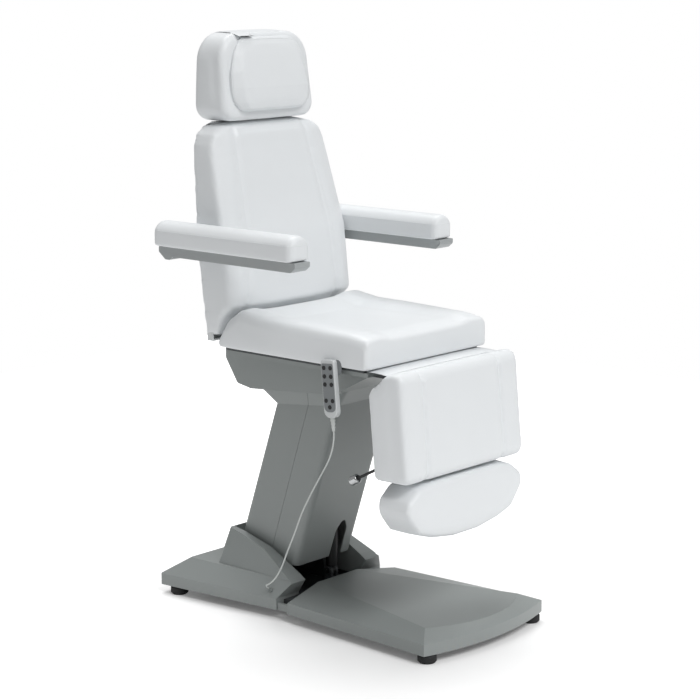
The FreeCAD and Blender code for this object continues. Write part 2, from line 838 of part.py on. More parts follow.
def seat_carrier():
    """Plates on the two top pivots, the tilt shaft across them and its actuator lever."""
    low, high = top_pivot, link_head
    corners = [(low[0] - carrier_half_width, low[1] - carrier_half_width), (low[0] + carrier_half_width, low[1] - carrier_half_width),
               (high[0] + carrier_half_width, high[1] - carrier_half_width / 2),
               (tilt_shaft[0] + carrier_half_width, tilt_shaft[1] + carrier_half_width / 2),
               (tilt_shaft[0] - carrier_half_width, tilt_shaft[1] + carrier_half_width / 2),
               (low[0] - carrier_half_width, low[1] + carrier_half_width)]
    plate = side_plate(corners, [boss_radius] * 6, carrier_plate_x, carrier_plate_end)
    web_low = link_head[1] + link_eye_radius + boss_radius
    web = block(-carrier_plate_x, carrier_plate_x, tilt_shaft[0] - carrier_half_width, tilt_shaft[0] + carrier_half_width / 2,
                web_low, web_low + plate_thickness)
    shaft = bar_x(tilt_shaft, pin_radius, -tilt_shaft_reach, tilt_shaft_reach)
    lever_end = (tilt_shaft[0], tilt_shaft[1] - tilt_lever_length)
    lever = join([hull_plate([tilt_shaft, lever_end], lever_half_width, lever_x, lever_x + lever_thickness),
                  bar_x(tilt_shaft, pin_head_radius, lever_x, lever_x + lever_thickness)])
    carrier = join(both(plate) + [web, shaft, lever])
    for place, radius in ((top_pivot, pin_radius), (link_head, small_pin_radius)):
        carrier = carrier.cut(bar_x(place, radius, -carrier_plate_end, carrier_plate_end))
    return carrier


def carrier_pins():
    reach = arm_plate_end + pin_head
    main = join([bar_x(top_pivot, pin_radius, -reach, reach)]
                + both(bar_x(top_pivot, pin_head_radius, arm_plate_end + side_clearance, arm_plate_end + side_clearance + pin_head)))
    small_reach = carrier_plate_end + pin_head
    link = join([bar_x(link_head, small_pin_radius, -small_reach, small_reach)]
                + both(bar_x(link_head, pin_radius, link_half_width + side_clearance,
                             link_half_width + side_clearance + collar_length)))
    return group([main, link])


def slide_tube(x, z, start, length, radius, rod):
    """Small actuator tube along Y with a bore for its rod."""
    tube = Part.makeCylinder(radius, length, vec(x, start, z), vec(0, 1, 0))
    bore = Part.makeCylinder(rod + running_fit, length, vec(x, start + plate_thickness, z), vec(0, 1, 0))
    cap = Part.makeCylinder(radius + lever_thickness / 4, plate_thickness * 2, vec(x, start, z), vec(0, 1, 0))
    return join([tube, cap]).cut(bore)


def slide_rod(x, z, start, end, radius, sign):
    """Small actuator rod along Y with a flat eye beside its lever."""
    bar = Part.makeCylinder(radius, end - start, vec(x, start, z), vec(0, 1, 0))
    inner, outer = sorted((x - sign * radius, x + sign * radius))
    eye = bar_x((end, z), lever_half_width, inner, outer)
    return join([bar, eye]).cut(bar_x((end, z), eye_pin_radius, inner - overrun, outer + overrun))


def tilt_actuator():
    return slide_tube(small_actuator_x, tilt_shaft[1] - tilt_lever_length, tilt_tube_start, tilt_tube_length,
                      tilt_tube_radius, tilt_rod_radius)


def tilt_actuator_rod():
    return slide_rod(small_actuator_x, tilt_shaft[1] - tilt_lever_length, tilt_tube_start + tilt_tube_length / 3,
                     tilt_shaft[0], tilt_rod_radius, 1)


def back_actuator():
    return slide_tube(-small_actuator_x, back_axis_z, back_tube_start, back_tube_length, back_tube_radius, back_rod_radius)


def back_actuator_rod():
    return slide_rod(-small_actuator_x, back_axis_z, back_tube_start + back_tube_length / 2, rear_hinge[0],
                     back_rod_radius, -1)


def seat_frame():
    """Two rails with hinge eyes, end members, the deck plate and the hangers of the actuators."""
    pieces = both(block(seat_rail_x, seat_rail_end, front_hinge_y, rear_hinge_y, seat_rail_bottom, deck_bottom))
    for place in (front_hinge, rear_hinge):
        pieces += both(bar_x(place, hinge_radius, seat_rail_x, seat_rail_end))
    shaft_block = block(seat_rail_x, seat_rail_end, tilt_shaft[0] - pin_radius * 2, tilt_shaft[0] + pin_radius * 2,
                        tilt_shaft[1] - pin_radius * 2, seat_rail_bottom)
    pieces += both(shaft_block)
    pieces.append(block(-deck_half_width, deck_half_width, deck_front, deck_rear, deck_bottom, deck_top))
    member_front = housing_slope_top[0] + seat_rail_width * 1.5
    pieces.append(block(-seat_rail_x, seat_rail_x, member_front, member_front + seat_rail_width, seat_rail_bottom, deck_bottom))
    half = back_tube_radius * 0.8
    for sign, start, radius, low in ((1, tilt_tube_start, tilt_tube_radius, tilt_shaft[1] - tilt_lever_length - tilt_tube_radius),
                                     (-1, back_tube_start, back_tube_radius, back_axis_z - back_tube_radius)):
        inner, outer = sorted((sign * (small_actuator_x - half), sign * (small_actuator_x + half)))
        pieces.append(block(inner, outer, start - plate_thickness, start, low, deck_bottom))
    frame = join(pieces)
    frame = frame.cut(bar_x(tilt_shaft, pin_radius + running_fit, -overrun * 5, overrun * 5))
    for place in (front_hinge, rear_hinge):
        frame = frame.cut(bar_x(place, hinge_pin_radius, -overrun * 5, overrun * 5))
    return frame


def hinge_pins():
    """Four pins: two carry the legrest and two the backrest."""
    pins = []
    for place in (front_hinge, rear_hinge):
        pin = bar_x(place, hinge_pin_radius, lug_x - side_clearance, seat_rail_end)
        head = bar_x(place, hinge_pin_radius * 1.4, seat_rail_end, seat_rail_end + pin_head)
        pins += both(join([pin, head]))
    return group(pins)


def housing_profile(inset):
    """Side view of the moulded trough under the seat."""
    floor_rear = (housing_floor_rear[0], housing_floor_rear[1] + inset)
    floor_front = (housing_floor_front[0] + inset / 2, housing_floor_front[1] + inset)
    slope_top = (housing_slope_top[0] + inset, housing_slope_top[1] + inset)
    front = (housing_front[0] + inset, housing_front[1] + inset)
    rear = housing_rear - inset
    knee = (housing_knee[0] - inset / 2, housing_knee[1] + inset)
    low_rear = (rear, housing_rear_z + inset / 2)
    top = deck_bottom + (overrun if inset else 0)
    return [(front[0], top), front, slope_top, floor_front, floor_rear, knee, low_rear, (rear, top)]


def seat_housing():
    """Moulded housing: a deep trough that takes in the column's head, under a wide shallow pan."""
    outer = side_plate(housing_profile(0), [0, 0, 6, 20, 30, 14, 14, 0], -housing_half_width, housing_half_width)
    inner = side_plate(housing_profile(housing_wall), [0, 0, 6, 20, 30, 14, 14, 0],
                       housing_wall - housing_half_width, housing_half_width - housing_wall)
    pan = block(-pan_half_width, pan_half_width, housing_front[0], housing_pan_rear, housing_front[1], deck_bottom)
    pan = pan.makeFillet(housing_wall, [edge for edge in pan.Edges if upright(edge)])
    pan_inner = block(housing_wall - pan_half_width, pan_half_width - housing_wall, housing_front[0] + housing_wall,
                      housing_pan_rear - housing_wall, housing_front[1] + housing_wall, deck_bottom + overrun)
    body = join([outer, pan]).cut(inner).cut(pan_inner)
    mouth_front = housing_floor_front[0] + overrun
    mouth_rear = housing_knee[0] - mouth_lip
    mouth = block(housing_wall - housing_half_width, housing_half_width - housing_wall, mouth_front, mouth_rear,
                  0, deck_bottom - overrun)
    front_mouth = side_plate([(housing_floor_front[0], 0), (housing_floor_front[0] + overrun, 0),
                              (housing_floor_front[0] + overrun, deck_bottom - overrun), (housing_floor_front[0], housing_floor_front[1] + housing_wall)],
                             [0] * 4, housing_wall - housing_half_width, housing_half_width - housing_wall)
    rail_slot = both(block(lug_x - overrun / 10, seat_rail_end + pin_head + side_clearance, rear_hinge_y - overrun, housing_rear + overrun,
                           seat_rail_bottom - overrun / 10, deck_bottom + overrun))
    front_slot = both(block(lug_x - overrun / 10, seat_rail_end + pin_head + side_clearance, housing_front[0] - overrun,
                            housing_slope_top[0] + overrun, seat_rail_bottom - side_clearance, deck_bottom + overrun))
    body = body.cut(mouth).cut(front_mouth)
    for slot in rail_slot + front_slot:
        body = body.cut(slot)
    return body.Solids[0] if len(body.Solids) == 1 else join([body])


def legrest_flap():
    """Flap that bridges the hinge gap in front of the seat, with its small studs into the deck."""
    top = deck_bottom + flap_thickness
    flap = block(-flap_half_width, flap_half_width, flap_front, deck_front, deck_bottom + side_clearance, top)
    return flap.makeFillet(flap_thickness / 3, [edge for edge in flap.Edges if upright(edge)])


def seat_section(x, inset, drop, share):
    """Side profile of the seat cushion at one X; share goes from 0 on the bolster to 1 in the hollow."""
    hollow = seat_middle_top - (seat_middle_top - seat_middle_hollow) * share
    front = seat_front_top - (seat_middle_top - seat_middle_hollow) * share * 0.4
    rear = seat_rear_top[1] - (seat_middle_top - seat_middle_hollow) * share * 0.5
    low = deck_top + side_clearance
    corners = [(inset - seat_half_length, low), (seat_rear_y - inset, low), (seat_rear_y - inset, seat_rear_low),
               (seat_rear_mid[0] - inset, seat_rear_mid[1] - drop), (seat_rear_top[0] - inset, rear - drop),
               (seat_rear_crest, hollow - drop), (0, hollow - drop * 1.2), (seat_front_y, front - drop),
               (inset - seat_half_length, front - seat_front_drop - drop)]
    return side_wire(corners, [6, 6, 6, 22, 20, 34, 60, 40, 14], x)


def seat_cushion():
    """Crowned cushion with two side bolsters round a hollow middle."""
    stations = [(cushion_half_width, 5, 26, 0), (cushion_half_width - 3, 2, 15, 0), (cushion_half_width - 9, 0, 7, 0),
                (cushion_half_width - 20, 0, 2, 0), (bolster_top, 0, 0, 0.12), (bolster_inner, 0, 0, 0.85),
                (bolster_inner * 0.5, 0, 0, 1)]
    wires = [seat_section(-x, inset, drop, share) for x, inset, drop, share in stations]
    wires += [seat_section(x, inset, drop, share) for x, inset, drop, share in reversed(stations)]
    return loft(wires)


def gland_line():
    """Place and direction of the cord gland, square to the rear cover's sloping side."""
    x, y, z = gland_centre
    rise = rear_deck_z - base_wall_top
    run = rear_waist_half_width - rear_deck_waist
    out = vec(-rise, 0, run)
    out.normalize()
    return vec(-x, y, z), out


def gland_bar(radius, start, end):
    centre, out = gland_line()
    return rod_between(centre + out * start, centre + out * end, radius)


def cord_gland():
    return join([gland_bar(gland_radius, -gland_length, gland_length / 3),
                 gland_bar(gland_radius * 0.6, 0, gland_length)])


def lean_handset(shape):
    placed = shape.copy()
    placed.rotate(vec(0, handset_y, handset_top), vec(1, 0, 0), -handset_lean_deg)
    return placed


def pill(y_half, z0, z1, x0, x1, inset):
    """Upright slab with rounder corners at its foot; the inset takes from every corner."""
    corners = [(handset_y - y_half, z0), (handset_y + y_half, z0), (handset_y + y_half, z1), (handset_y - y_half, z1)]
    foot, head = handset_foot_corner - inset, handset_corner - inset
    return side_plate(corners, [foot, foot, head, head], x0, x1)


def button_places():
    places = [(handset_y + side * button_pitch, z) for z in button_rows for side in (-1, 1)]
    return places + [(handset_y, button_last_row)]


def handset_shell():
    outer_x = -handset_x - handset_thick
    slab = pill(handset_half_width, handset_bottom, handset_top, outer_x, -handset_x, 0)
    rim = [edge for edge in slab.Edges if abs(edge.BoundBox.XMin - outer_x) < touch_fit and edge.BoundBox.XLength < touch_fit]
    slab = slab.makeFillet(handset_corner / 3, rim)
    recess = pill(face_half_width, face_bottom, face_top, outer_x, outer_x + face_seat, face_inset)
    well = pill(face_half_width - face_thick, face_bottom + face_thick, face_top - face_thick, outer_x,
                outer_x + face_seat + button_height * 1.6, face_inset + face_thick)
    shell = lean_handset(slab.cut(recess).cut(well))
    for hole in handset_pegs(peg_radius + running_fit, peg_length):
        shell = shell.cut(hole)
    return shell


def handset_face():
    outer_x = -handset_x - handset_thick
    plate = pill(face_half_width, face_bottom, face_top, outer_x - face_thick + face_seat, outer_x + face_seat, face_inset)
    for place in button_places():
        plate = plate.cut(bar_x(place, button_radius + button_gap, outer_x - overrun, outer_x + overrun / 4))
    return lean_handset(plate)


def button(place):
    """Domed key with a retaining collar behind the face plate."""
    outer_x = -handset_x - handset_thick
    face_x = outer_x - face_thick + face_seat
    collar_x = outer_x + face_seat + touch_fit * 2
    cap = bar_x(place, button_radius, face_x - button_travel - face_thick / 2, collar_x + face_thick / 2)
    cap = cap.makeFillet(button_travel * 0.8, [min(cap.Edges, key=lambda edge: edge.BoundBox.XMin + edge.BoundBox.XLength * overrun)])
    collar = bar_x(place, button_radius + button_gap * 3, collar_x, collar_x + face_thick)
    return lean_handset(join([cap, collar]))


def handset_pegs(radius, length):
    """The bracket's two pegs, or the holes for them in the handset's back."""
    start = -handset_x - length
    return [lean_handset(bar_x((handset_y, z), radius, start, side_clearance - handset_x)) for z in peg_heights]


def handset_hook():
    """Rounded plate behind the handset, on a tab from the deck's side, with two pegs that carry the handset."""
    near = side_clearance - handset_x
    low = deck_bottom - bracket_corner
    corners = [(bracket_front, low), (bracket_rear, low), (bracket_rear, bracket_top), (bracket_front, bracket_top)]
    plate = side_plate(corners, [bracket_corner] * len(corners), near, near + bracket_thick)
    tab = block(near, -deck_half_width, bracket_front + bracket_corner, bracket_rear - bracket_corner,
                deck_bottom, deck_bottom + bracket_tab)
    return join([plate, tab] + handset_pegs(peg_radius, peg_length - side_clearance))


def cord_strain_relief():
    """Ribbed cone on the handset's lower end."""
    x = -cord_x
    top = vec(x, handset_y, handset_bottom)
    rings = [Part.makeCone(relief_foot_radius, relief_top_radius, relief_length, top - vec(0, 0, relief_length))]
    for share in (0.25, 0.5, 0.75):
        radius = relief_foot_radius + (relief_top_radius - relief_foot_radius) * share
        rings.append(Part.makeCylinder(radius + 1.0, 3.0, top - vec(0, 0, relief_length * (1 - share))))
    return lean_handset(join(rings))


def relief_end():
    """Lower end of the strain relief, where the cord leaves it."""
    spot = Part.Vertex(vec(-cord_x, handset_y, handset_bottom - relief_length))
    return lean_handset(spot).Point


# The free cord's route, from below the strain relief to just outside the gland
cord_points = [(-275, -151, 510), (-277, -112, 452), (-276, -78, 398), (-274, -44, 340),
               (-271, -18, 283), (-270, 10, 225), (-271, 30, 172), (-268, 54, 132), (-258, 88, 108)]


def cord_route():
    centre, out = gland_line()
    tip = centre + out * gland_length
    ahead = tip + out * (overrun * 0.45)
    below = lean_handset(Part.Vertex(vec(-cord_x, handset_y, handset_bottom - relief_length * 1.75))).Point
    return [relief_end(), below] + [vec(*point) for point in cord_points] + [ahead, tip]


def handset_cord():
    """Round cord: straight runs joined by tangent arcs."""
    points = cord_route()
    edges = []
    place = points[0]
    radii = []
    for before, corner, after in zip(points, points[1:], points[2:]):
        back, ahead = before - corner, after - corner
        shorter = min(back.Length, ahead.Length)
        back.normalize()
        ahead.normalize()
        half_turn = (math.pi - back.getAngle(ahead)) / 2
        radius = 0.45 * shorter / math.tan(half_turn)
        radii.append(round(radius))
        inward = back + ahead
        inward.normalize()
        entry = corner + back * (0.45 * shorter)
        leave = corner + ahead * (0.45 * shorter)
        middle = corner + inward * (radius / math.cos(half_turn) - radius)
        edges += [Part.LineSegment(place, entry).toShape(), Part.Arc(entry, middle, leave).toShape()]
        place = leave
    edges.append(Part.LineSegment(place, points[-1]).toShape())
    path = Part.Wire(edges)
    ring = Part.Wire([Part.makeCircle(cord_radius, points[0], points[1] - points[0])])
    tube = path.makePipeShell([ring], True, False)
    print("cord radii", radii, "length", round(path.Length), "volume share",
          round(tube.Volume / (path.Length * math.pi * cord_radius ** 2), 4))
    return tube.Solids[0]


def rear_line(z):
    """Y of the backrest's rear face at a height."""
    slope = (back_high[0] - back_low[0]) / (back_high[1] - back_low[1])
    return back_low[0] + (z - back_low[1]) * slope


def between(low, high, z):
    share = (z - low[1]) / (high[1] - low[1])
    return low[0] + (high[0] - low[0]) * share


def front_line(z):
    """Y of the backrest's front face at a height."""
    for low, high in ((back_front_low, back_front_wedge), (back_front_wedge, back_front_chin),
                      (back_front_chin, back_front_mid)):
        if z <= high[1]:
            return between(low, high, z)
    return between(back_front_mid, back_front_high, z)


def back_half_width(z):
    """Half width of the backrest, with round shoulders at the top."""
    share = min(max((z - back_low[1]) / (back_top - back_low[1]), 0), 1)
    width = back_foot_half_width + (back_top_half_width - back_foot_half_width) * share
    rise = z - (back_top - shoulder_radius)
    if rise > 0:
        width -= shoulder_radius - math.sqrt(max(shoulder_radius ** 2 - rise ** 2, 0))
    return width


def back_section(z, draw):
    """Level section of the back cushion, with a channel on each side of its middle panel."""
    share = (z - back_low[1]) / (back_top - back_low[1])
    channel = back_channel_low + (back_channel_top - back_channel_low) * min(max(share * 1.3 - 0.3, 0), 1)
    channel = min(channel, back_half_width(z) - draw - channel_width * 3)
    side = back_half_width(z) - draw
    front = front_line(min(z, back_high[1])) + draw * 1.2
    rear = rear_line(z) - shell_depth - side_clearance
    depth = rear - front
    crown = min(channel_depth * 0.7, depth * 0.12)
    half = [(side, rear), (side, front + crown * 2), (channel + channel_width, front + crown * 0.5),
            (channel, front + crown * 1.4), (channel - channel_width, front + crown * 0.6)]
    mirrored = [(-x, y) for x, y in reversed(half)]
    radii = [min(5, depth * 0.2), min(16, depth * 0.3), 8, 0, 8]
    return rounded_wire(half + mirrored, radii + radii[::-1], lambda x, y: vec(x, y, z))


def back_cushion():
    """Backrest cushion: wedge-cut foot, crowned front, drawn-in edges and round shoulders."""
    low, wedge, chin = back_front_low[1], back_front_wedge[1], back_front_chin[1]
    stations = [(low, 3), (wedge, 0), (chin, 0), (chin + 30, 0), (back_front_mid[1], 0), (back_front_high[1], 0),
                (back_top - shoulder_radius, 2), (back_top - shoulder_radius * 0.5, 5), (back_top - shoulder_radius * 0.2, 12),
                (back_top, 26)]
    return loft([back_section(z, draw) for z, draw in stations])


def back_slab(inset, front_gap, rear_gap):
    """Flat-fronted slab behind the cushion that follows the backrest's outline."""
    sections = []
    heights = [shell_bottom + inset, back_front_mid[1], back_top - shoulder_radius, back_top - shoulder_radius * 0.5,
               back_top - shoulder_radius * 0.2, back_top - inset]
    for z in heights:
        side = back_half_width(z) - shell_inset - inset
        rear = rear_line(z) - rear_gap
        front = rear_line(z) - shell_depth - front_gap
        corners = [(-side, front), (side, front), (side, rear), (-side, rear)]
        sections.append(rounded_wire(corners, [0, 0, 14 - inset, 14 - inset], lambda x, y: vec(x, y, z)))
    return loft(sections)


def back_shell():
    """Moulded rear shell, open to the front, with slots for the armrest brackets and the head bars."""
    shell = back_slab(0, 0, 0).cut(back_slab(shell_wall, overrun, shell_wall))
    for slot in both(block(bracket_inner_x - pin_head, bracket_outer_x + pin_head, rear_line(armrest_pivot[1]) - overrun / 2,
                           armrest_pivot[0] + overrun, armrest_pivot[1] - overrun * 0.6, armrest_pivot[1] + overrun * 0.6)):
        shell = shell.cut(slot)
    for slot in both(block(lug_x - pin_head, lug_x + overrun * 0.4, 0, base_reach, shell_bottom - overrun, shell_bottom + overrun * 0.5)):
        shell = shell.cut(slot)
    for x in (head_bar_x, -head_bar_x):
        low, high = head_bar_line(x, 0, 0)
        direction = high - low
        direction.normalize()
        shell = shell.cut(rod_between(low, high + direction * overrun, head_bar_radius + running_fit * 4))
    return shell


def head_bar_line(x, drop, rise):
    """Ends of one headrest bar, which follows the backrest's lean inside the shell."""
    slope = (back_high[0] - back_low[0]) / (back_high[1] - back_low[1])
    y = rear_line(head_hinge_z) - shell_depth * 0.58
    top = vec(x, y, head_hinge_z)
    down = vec(0, -slope, -1)
    down.normalize()
    return top + down * (head_bar_length - drop), top - down * rise


def head_hinge():
    top = head_bar_line(0, 0, 0)[1]
    return (top.y, top.z)


def back_frame():
    """Uprights with their hinge lugs, cross members, armrest brackets and the headrest's guide tubes."""
    lug_end = seat_rail_x - side_clearance
    foot_z = shell_bottom + overrun * 0.4
    foot_y = rear_line(foot_z) - shell_wall - side_clearance
    top_z = back_top - shoulder_radius * 1.2
    top_y = rear_line(top_z) - shell_wall - side_clearance
    pieces = []
    upright_bar = side_plate([(foot_y - upright_depth, foot_z), (foot_y, foot_z), (top_y, top_z), (top_y - upright_depth, top_z)],
                             [0] * 4, lug_x, lug_end)
    lug = side_plate([(rear_hinge[0] - hinge_radius * 0.9, rear_hinge[1]), (rear_hinge[0] + hinge_radius * 0.9, rear_hinge[1]),
                      (foot_y, foot_z), (foot_y, foot_z + overrun), (foot_y - upright_depth, foot_z + overrun),
                      (foot_y - upright_depth, foot_z - upright_depth / 2)], [0] * 6, lug_x, lug_end)
    lever_end = (rear_hinge[0], rear_hinge[1] - back_lever_length)
    lever = hull_plate([rear_hinge, lever_end], lever_half_width, lug_x, lug_x + lever_thickness)
    pieces += both(upright_bar) + both(lug) + both(bar_x(rear_hinge, hinge_radius, lug_x, lug_end))
    pieces.append(lever.mirror(vec(0, 0, 0), vec(1, 0, 0)))
    for z in (foot_z + overrun, armrest_pivot[1], top_z - overrun):
        y = rear_line(z) - shell_wall - side_clearance
        reach = bracket_outer_x if z == armrest_pivot[1] else lug_x
        pieces.append(block(-reach, reach, y - upright_depth, y - upright_depth / 4, z - upright_depth, z + upright_depth))
    arm_y = rear_line(armrest_pivot[1]) - shell_wall - upright_depth
    bracket = side_plate([(arm_y, armrest_pivot[1] - upright_depth), (armrest_pivot[0], armrest_pivot[1] - upright_depth),
                          (armrest_pivot[0], armrest_pivot[1] + upright_depth), (arm_y, armrest_pivot[1] + upright_depth)],
                         [0] * 4, bracket_inner_x, bracket_outer_x)
    pieces += both(bracket) + both(bar_x(armrest_pivot, upright_depth, bracket_inner_x, bracket_outer_x))
    for x in (head_bar_x, -head_bar_x):
        low, high = head_bar_line(x, overrun * 0.5, 0)
        direction = high - low
        direction.normalize()
        pieces.append(rod_between(low, low + direction * head_guide_length, head_guide_radius))
        block_y = rear_line(top_z - overrun) - shell_depth * 0.58
        pieces.append(block(x - head_guide_radius, x + head_guide_radius, block_y - head_guide_radius * 0.5,
                            block_y, top_z - overrun - upright_depth, top_z - overrun + upright_depth))
    frame = join(pieces)
    for x in (head_bar_x, -head_bar_x):
        low, high = head_bar_line(x, -overrun, 0)
        frame = frame.cut(rod_between(low, high, head_bar_radius + running_fit))
    frame = frame.cut(bar_x(rear_hinge, hinge_pin_radius + running_fit, -overrun * 5, overrun * 5))
    return frame.cut(bar_x(armrest_pivot, armrest_pin_radius, -bracket_outer_x, bracket_outer_x))


def armrest_bolts():
    bolts = []
    for pin in both(join([bar_x(armrest_pivot, armrest_pin_radius, bracket_inner_x - pin_head, armrest_pin_end),
                          bar_x(armrest_pivot, armrest_pin_radius * 1.5, bracket_inner_x - pin_head * 2, bracket_inner_x),
                          bar_x(armrest_pivot, armrest_pin_radius * 1.5, bracket_outer_x, rail_inner - side_clearance)])):
        bolts.append(pin)
    return group(bolts)


def head_bars():
    """Two sliding bars joined by the headrest's hinge barrel."""
    pieces = [rod_between(*head_bar_line(x, 0, 0), head_bar_radius) for x in (head_bar_x, -head_bar_x)]
    hinge = head_hinge()
    pieces.append(bar_x(hinge, head_hinge_radius * 0.6, -head_bar_x, head_bar_x))
    pieces += both(bar_x(hinge, head_hinge_radius, head_hinge_half + side_clearance, head_bar_x + head_hinge_radius))
    return join(pieces)


def head_plate():
    """Rear plate of the headrest, with the sleeve that turns on the hinge barrel."""
    hinge = head_hinge()
    rear = headrest_rear + side_clearance
    plate = block(-head_plate_half_width, head_plate_half_width, rear, rear + head_plate_thick, head_notch_z, head_plate_top)
    plate = plate.makeFillet(overrun / 2, [edge for edge in plate.Edges if edge.BoundBox.YLength > head_plate_thick * 0.9])
    sleeve = bar_x(hinge, head_hinge_radius, -head_hinge_half, head_hinge_half)
    neck = side_plate([(hinge[0], hinge[1]), (hinge[0] + head_hinge_radius * 0.8, hinge[1] - head_hinge_radius * 0.5),
                       (rear + head_plate_thick, head_notch_z - overrun * 0.1), (rear + head_plate_thick, head_notch_z + overrun / 2),
                       (rear, head_notch_z + overrun / 2), (rear, head_notch_z)], [0] * 6, -head_hinge_half, head_hinge_half)
    return join([plate, sleeve, neck]).cut(bar_x(hinge, head_hinge_radius * 0.6 + running_fit, -overrun * 2, overrun * 2))


def head_wire(y, inset):
    low, high = headrest_half_width - inset, headrest_top_half_width - inset
    bottom, top = head_bottom + inset, head_top - inset
    corners = [(-low, bottom), (low, bottom), (high, top), (-high, top)]
    foot, corner = headrest_foot_corner - inset, headrest_corner - inset
    return rounded_wire(corners, [foot, foot, corner, corner], lambda x, z: vec(x, y, z))


def head_cushion():
    """Rounded cushion with a notch behind for the hinge."""
    crown = headrest_crown
    stations = [(headrest_front, crown), (headrest_front + crown * 0.3, crown * 0.4), (headrest_front + crown, 0),
                (headrest_rear - crown, 0), (headrest_rear - crown * 0.3, crown * 0.4), (headrest_rear, crown)]
    body = loft([head_wire(y, inset) for y, inset in stations])
    notch = block(-head_notch_x, head_notch_x, head_notch_y, headrest_rear + overrun, head_bottom - overrun, head_notch_z)
    return body.cut(notch)


def pillow_wire(z, half_width, front):
    """Level section: flat behind, a thin rim at each side and a broad crown in front."""
    rear = headrest_front - side_clearance
    rim = max(front + pillow_rim_step, pillow_side_front)
    shoulder = half_width - pillow_crown * 1.5
    half = [(half_width, rear), (half_width, rim), (shoulder, front)]
    corners = half + [(-x, y) for x, y in reversed(half)]
    depth = rear - rim
    radii = [depth * 0.3, depth * 0.4, pillow_crown]
    return rounded_wire(corners, radii + radii[::-1], lambda x, y: vec(x, y, z))


def head_pillow():
    """Neck pillow, thick below and thin towards its top."""
    return loft([pillow_wire(*place) for place in zip(pillow_levels, pillow_half_widths, pillow_fronts)])


def pillow_strap():
    """Thin strap from the pillow over the headrest's top to its rear."""
    gap = side_clearance * 2
    top = head_top + gap
    mid = headrest_front - pillow_crown * 0.75
    rear = headrest_rear + gap
    crown = headrest_crown
    path = [(mid, pillow_top + gap), (headrest_front + crown, top), (headrest_rear - crown, top),
            (rear - crown * 0.3, top - crown * 0.4), (rear, top - crown), (rear, head_plate_top + gap)]
    outer = [(mid, pillow_top + gap + strap_thick), (headrest_front + crown, top + strap_thick),
             (headrest_rear - crown, top + strap_thick), (rear - crown * 0.2, top - crown * 0.4 + strap_thick),
             (rear + strap_thick, top - crown + strap_thick), (rear + strap_thick, head_plate_top + gap)]
    corners = path + outer[::-1]
    return side_plate(corners, [0] * len(corners), -strap_far, -strap_near)


def pad_wire(y, inset):
    """D-shaped section of an armrest pad with a crease where its sides meet its top."""
    left, right = pad_inner + inset, pad_outer - inset
    low, crease, crown = rail_top + side_clearance + inset * 0.3, pad_crease - inset * 0.8, pad_crown - inset * 0.8
    middle = (left + right) / 2
    edges = [Part.LineSegment(vec(left, y, low), vec(right, y, low)), Part.LineSegment(vec(right, y, low), vec(right, y, crease)),
             Part.Arc(vec(right, y, crease), vec(middle, y, crown), vec(left, y, crease)),
             Part.LineSegment(vec(left, y, crease), vec(left, y, low))]
    return Part.Wire([edge.toShape() for edge in edges])


def arm_pad(sign):
    """Long padded armrest top with rounded ends."""
    end = pad_end_length
    stations = [(pad_front, 14), (pad_front + end * 0.3, 5), (pad_front + end, 0), (pad_rear - end, 0), (pad_rear - end * 0.3, 5),
                (pad_rear, 14)]
    pad = loft([pad_wire(y, inset) for y, inset in stations])
    return pad if sign > 0 else pad.mirror(vec(0, 0, 0), vec(1, 0, 0))


def arm_rail(sign):
    """Moulded rail under the pad, with the hub that turns on the armrest bolt."""
    pivot_y, pivot_z = armrest_pivot
    hub = upright_depth
    corners = [(rail_front, rail_top), (rail_front, (rail_top + rail_bottom) / 2), (rail_front + hub, rail_bottom), (rail_step, rail_bottom),
               (pivot_y - hub * 0.6, pivot_z - hub), (pivot_y + hub * 0.6, pivot_z - hub), (rail_end, rail_bottom + hub * 0.7), (rail_end, rail_top)]
    rail = side_plate(corners, [3, 8, 8, 6, 8, 10, 6, 3], rail_inner, rail_outer)
    bore = bar_x(armrest_pivot, armrest_pin_radius + running_fit, rail_inner - overrun, armrest_pin_end + side_clearance)
    rail = rail.cut(bore)
    return rail if sign > 0 else rail.mirror(vec(0, 0, 0), vec(1, 0, 0))


def leg_lean():
    """Unit direction down the legrest's lean and its forward normal, as (y, z) vectors."""
    down = vec(0, leg_rear_foot[0] - leg_rear_top[0], leg_rear_foot[1] - leg_rear_top[1])
    down.normalize()
    return down, down.cross(vec(1, 0, 0)) * 1.0


def leg_section(x, inset, channel):
    corners = [(leg_rear_foot[0] - inset * 0.4, leg_rear_foot[1] + inset), (leg_rear_top[0] - inset * 0.4, leg_rear_top[1] - inset),
               (leg_slope_mid[0], leg_slope_mid[1] - inset), (leg_front_top[0] + inset + channel, leg_front_top[1] - inset - channel),
               (leg_front_foot[0] + inset + channel, leg_front_foot[1] + inset)]
    return side_wire(corners, [8, 2, 10, 26, 22], x)


def legrest_cushion():
    """Thick calf cushion with a channel each side of its middle panel, hollowed round the hinge."""
    side, draw = leg_half_width, leg_side_draw
    seam, half = leg_channel_x, channel_width
    stations = [(side, draw, 0), (side - draw * 0.4, draw * 0.3, 0), (side - draw * 1.5, 0, 0), (seam + half, 0, 1), (seam, 0, channel_depth),
                (seam - half, 0, 1)]
    wires = [leg_section(-x, inset, channel) for x, inset, channel in stations]
    wires += [leg_section(x, inset, channel) for x, inset, channel in reversed(stations)]
    body = loft(wires)
    body = body.cut(bar_x(front_hinge, leg_scallop, -leg_half_width - overrun, leg_half_width + overrun))
    return body.cut(leg_pocket(0))


